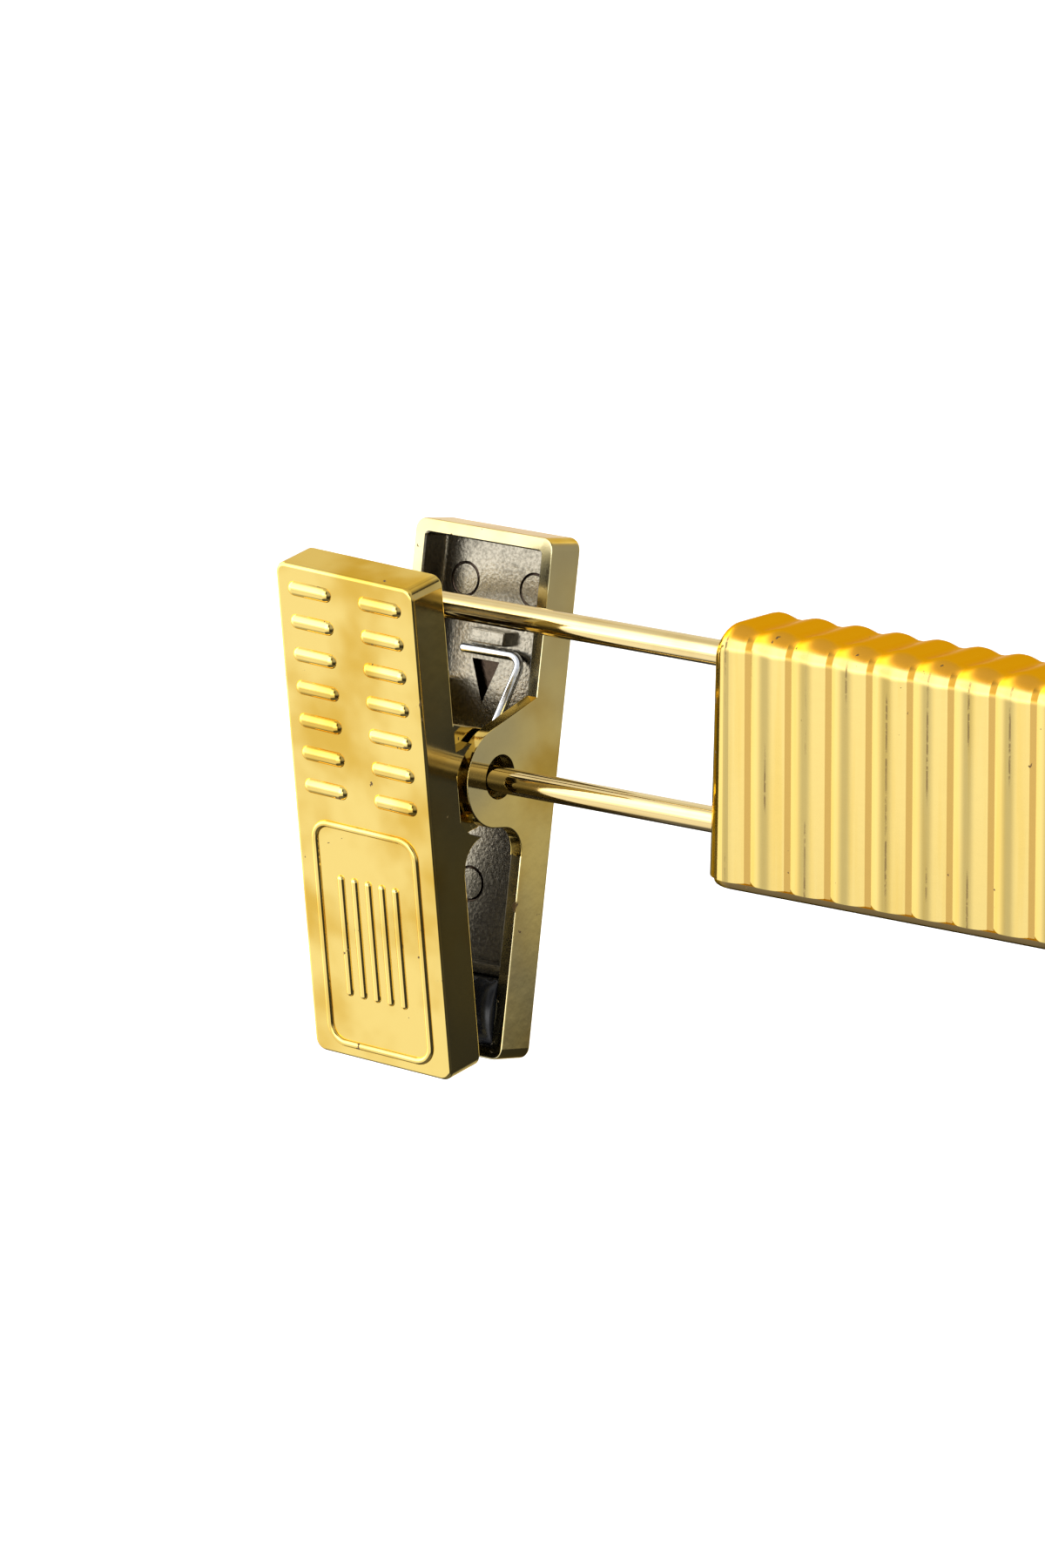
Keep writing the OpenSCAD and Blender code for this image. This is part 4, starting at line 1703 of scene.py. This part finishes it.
@dataclass
class Pad:
    """The crowned rubber pad in the tip of a clip half."""

    palette: Palette
    half: ClipHalf
    crown_r: float = 7.0
    gap: float = 0.4
    ease: float = 0.06
    end_round: float = 0.9
    end_power: int = 6
    edge_round: float = 0.25
    edge_steps: int = 3
    edge_angle: float = 40.0
    rows: int = 12
    columns: int = 20

    def build(self) -> Piece:
        """Makes the pad in the half's own frame.

        Returns:
            The pad.
        """
        half = self.half
        side = half.half_w - half.wall - self.ease
        low = -half.jaw_len + half.wall + self.ease
        high = low + half.pad_h - 2 * self.ease
        mid = (low + high) / 2
        level = self.gap / 2 - half.hole_off - mid * math.sin(half.tilt)
        front = (level + self.crown_r) / math.cos(half.tilt) - self.crown_r
        bm = bmesh.new()
        box(bm, (-side, front, low), (side, half.floor_y - self.ease, high))
        slice_at(bm, Z_AXIS, [low + (high - low) * i / self.rows for i in range(1, self.rows)])
        slice_at(bm, X_AXIS, [side * (2 * i / self.columns - 1) for i in range(1, self.columns)])
        for point in [v for v in bm.verts if v.co.y < front + NEAR]:
            fall = self.crown_r - math.sqrt(self.crown_r ** 2 - (point.co.z - mid) ** 2)
            point.co.y += fall + self.end_round * abs(point.co.x / side) ** self.end_power
        sharp = [e for e in bm.edges if e.calc_face_angle(0.0) > math.radians(self.edge_angle)]
        bevel(bm, sharp, self.edge_round, self.edge_steps)
        return shade(put(bm, "pad", [self.palette.rubber]), sharp=50)


@dataclass
class Clips:
    """The two clips: each is two halves, two pads and a spring."""

    palette: Palette
    left_roll: float = 2.1

    def copied(self, piece: Piece, name: str, seat: Matrix) -> Piece:
        """Copies a piece to its seat.

        Args:
            piece: The pattern.
            name: The copy's name.
            seat: Where the copy goes, in millimetres.

        Returns:
            The copy.
        """
        copy = piece.copy()
        copy.data = piece.data.copy()
        copy.name = name
        copy.data.name = name
        scale = Matrix.Scale(MM, 4)
        copy.data.transform(scale @ seat @ scale.inverted())
        bpy.context.scene.collection.objects.link(copy)
        return copy

    def build(self) -> None:
        """Makes one moulding and one pad, and sets copies of them in both clips."""
        half = ClipHalf(self.palette)
        moulding = half.build()
        pad = Pad(self.palette, half).build()
        spring = Spring(self.palette, half)
        for side in Side:
            hinge = hinge_at(f"{side.label}_front_squeeze") / MM
            roll = self.left_roll if side is Side.LEFT else 0.0
            for leaf in Leaf:
                seat = Matrix.Translation(hinge) @ half.seat(leaf, roll)
                body = f"{side.label}_{leaf.value}"
                carry(self.copied(moulding, f"{body}_moulding", seat), body, f"{body}_jaw")
                carry(self.copied(pad, f"{body}_rubber", seat), body, f"{body}_pad")
            spring.build(side, hinge)
        for pattern in (moulding, pad):
            bpy.data.objects.remove(pattern)


# The studio


@dataclass(frozen=True)
class Softbox:
    """A soft patch of light, in degrees from the front towards the right and above the horizon.

    Its width and height are measured from its middle to the middle of its soft edge.
    """

    azimuth: float
    elevation: float
    width: float
    height: float
    edge: float
    power: float


@dataclass
class Studio:
    """Floor, light and camera: angles in degrees, the lens in millimetres, the floor in metres."""

    azimuth: float = 38.8
    elevation: float = 13.5
    lens: float = 283.0
    sensor: float = 36.0
    far_clip: float = 50.0
    pixels_to_mm: float = 10.1
    image: tuple[int, int] = (1200, 1800)
    clip_pixel: tuple[float, float] = (489.5, 879.0)
    floor_drop: float = 0.5
    floor_size: float = 8.0
    floor_colour: Colour = (0.9, 0.9, 0.9, 1)
    floor_roughness: float = 0.8
    floor_glow: float = 0.6
    ambient: float = 0.04
    boxes: tuple[Softbox, ...] = (
        Softbox(-45, 22, 60, 22, 10, 2.6),
        Softbox(-90, 22, 22, 20, 12, 0.8),
        Softbox(-5, 22, 22, 20, 12, 0.8),
        Softbox(-38, -33, 70, 16, 6, 0.98),
        Softbox(-38, -5, 70, 11, 5, 1.35),
        Softbox(-88, -10, 32, 14, 12, 1.0),
        Softbox(2, -6, 28, 12, 10, 0.95),
        Softbox(-150, 18, 45, 26, 8, 0.8),
        Softbox(-165, -20, 26, 16, 8, 0.75),
        Softbox(140, 7, 40, 21.4, 0.7, 0.46),
        Softbox(70, 15, 30, 30, 15, 0.45),
        Softbox(0, 78, 180, 34, 12, 0.7),
        Softbox(0, -80, 180, 22, 10, 0.12),
    )

    def patch(self, way: Value, height: Value, light: Softbox) -> Value:
        """Works out one soft box's light.

        Args:
            way: The direction in the sky.
            height: Its angle above the horizon.
            light: The box.

        Returns:
            The light from that direction.
        """
        turn = {"Vector": way, "Angle": -math.radians(light.azimuth)}
        faced = way.board.node("ShaderNodeVectorRotate", {"rotation_type": "Z_AXIS"}, turn)
        aside = faced.part("X")
        across = abs(aside.math("ARCTAN2", aside, 0 - faced.part("Y")))
        up = abs(height - math.radians(light.elevation))
        wide, tall, edge = (math.radians(angle) for angle in (light.width, light.height, light.edge))
        return across.ramp(wide + edge, wide - edge) * up.ramp(tall + edge, tall - edge) * light.power

    def sky(self) -> None:
        """Lights the scene with the soft boxes, on a plain white backdrop."""
        world = bpy.data.worlds.new("studio")
        bpy.context.scene.world = world
        world.use_nodes = True
        board = Board(world.node_tree)
        way = board.node("ShaderNodeTexCoord", output="Generated")
        rise = way.part("Z")
        height = rise.math("ARCSINE", rise)
        total = sum((self.patch(way, height, light) for light in self.boxes), self.ambient)
        seen = board.node("ShaderNodeLightPath", output="Is Camera Ray")
        strength = total * (1 - seen) + seen
        sky = board.node("ShaderNodeBackground", None, {"Color": WHITE, "Strength": strength})
        board.node("ShaderNodeOutputWorld", None, {"Surface": sky})

    def floor(self) -> None:
        """Lays a plain pale floor below the hanger."""
        bm = bmesh.new()
        place = Matrix.Translation((0, 0, (CAD_BOX[0].z - self.floor_drop) / MM))
        bmesh.ops.create_grid(bm, x_segments=1, y_segments=1, size=self.floor_size / MM, matrix=place)
        made, board = new_board("pale_floor")
        board.surface({
            "Base Color": self.floor_colour,
            "Roughness": self.floor_roughness,
            "Emission Color": WHITE,
            "Emission Strength": self.floor_glow,
        })
        floor = put(bm, "floor", [made])
        floor.visible_glossy = False

    def camera(self) -> None:
        """Sets the camera at the photograph's viewing angle, on the left clip and the bar's end."""
        a, e = math.radians(self.azimuth), math.radians(self.elevation)
        back = Vector((math.sin(a) * math.cos(e), -math.cos(a) * math.cos(e), math.sin(e)))
        right = Vector((math.cos(a), math.sin(a), 0))
        up = back.cross(right)
        pixel = MM / self.pixels_to_mm
        across, down = ((size / 2 - at) * pixel for size, at in zip(self.image, self.clip_pixel))
        target = hinge_at("left_front_squeeze") + right * across - up * down
        data = bpy.data.cameras.new("camera")
        data.lens = self.lens
        data.sensor_width = self.sensor
        data.clip_end = self.far_clip
        camera = bpy.data.objects.new("camera", data)
        camera.location = target + back * (self.image[1] * pixel * self.lens / self.sensor)
        camera.rotation_euler = (-back).to_track_quat("-Z", "Y").to_euler()
        bpy.context.scene.collection.objects.link(camera)
        bpy.context.scene.camera = camera

    def build(self) -> None:
        """Sets the studio up."""
        self.camera()
        self.floor()
        self.sky()
        bpy.context.scene.view_settings.view_transform = "Standard"


def main() -> None:
    """Builds the hanger and its studio."""
    logging.basicConfig(level=logging.INFO, format="%(name)s: %(message)s")
    Studio().build()
    palette = Palette()
    Bar(palette).build()
    for side in Side:
        WireLoop(palette, side).build()
    Hook(palette).build()
    Clips(palette).build()
    dress(["hook_washer", "hook_stop", "base_screws"], palette.steel)
    dress(["left_wire_anchor", "right_wire_anchor"], palette.core)


if __name__ == "__main__":
    main()
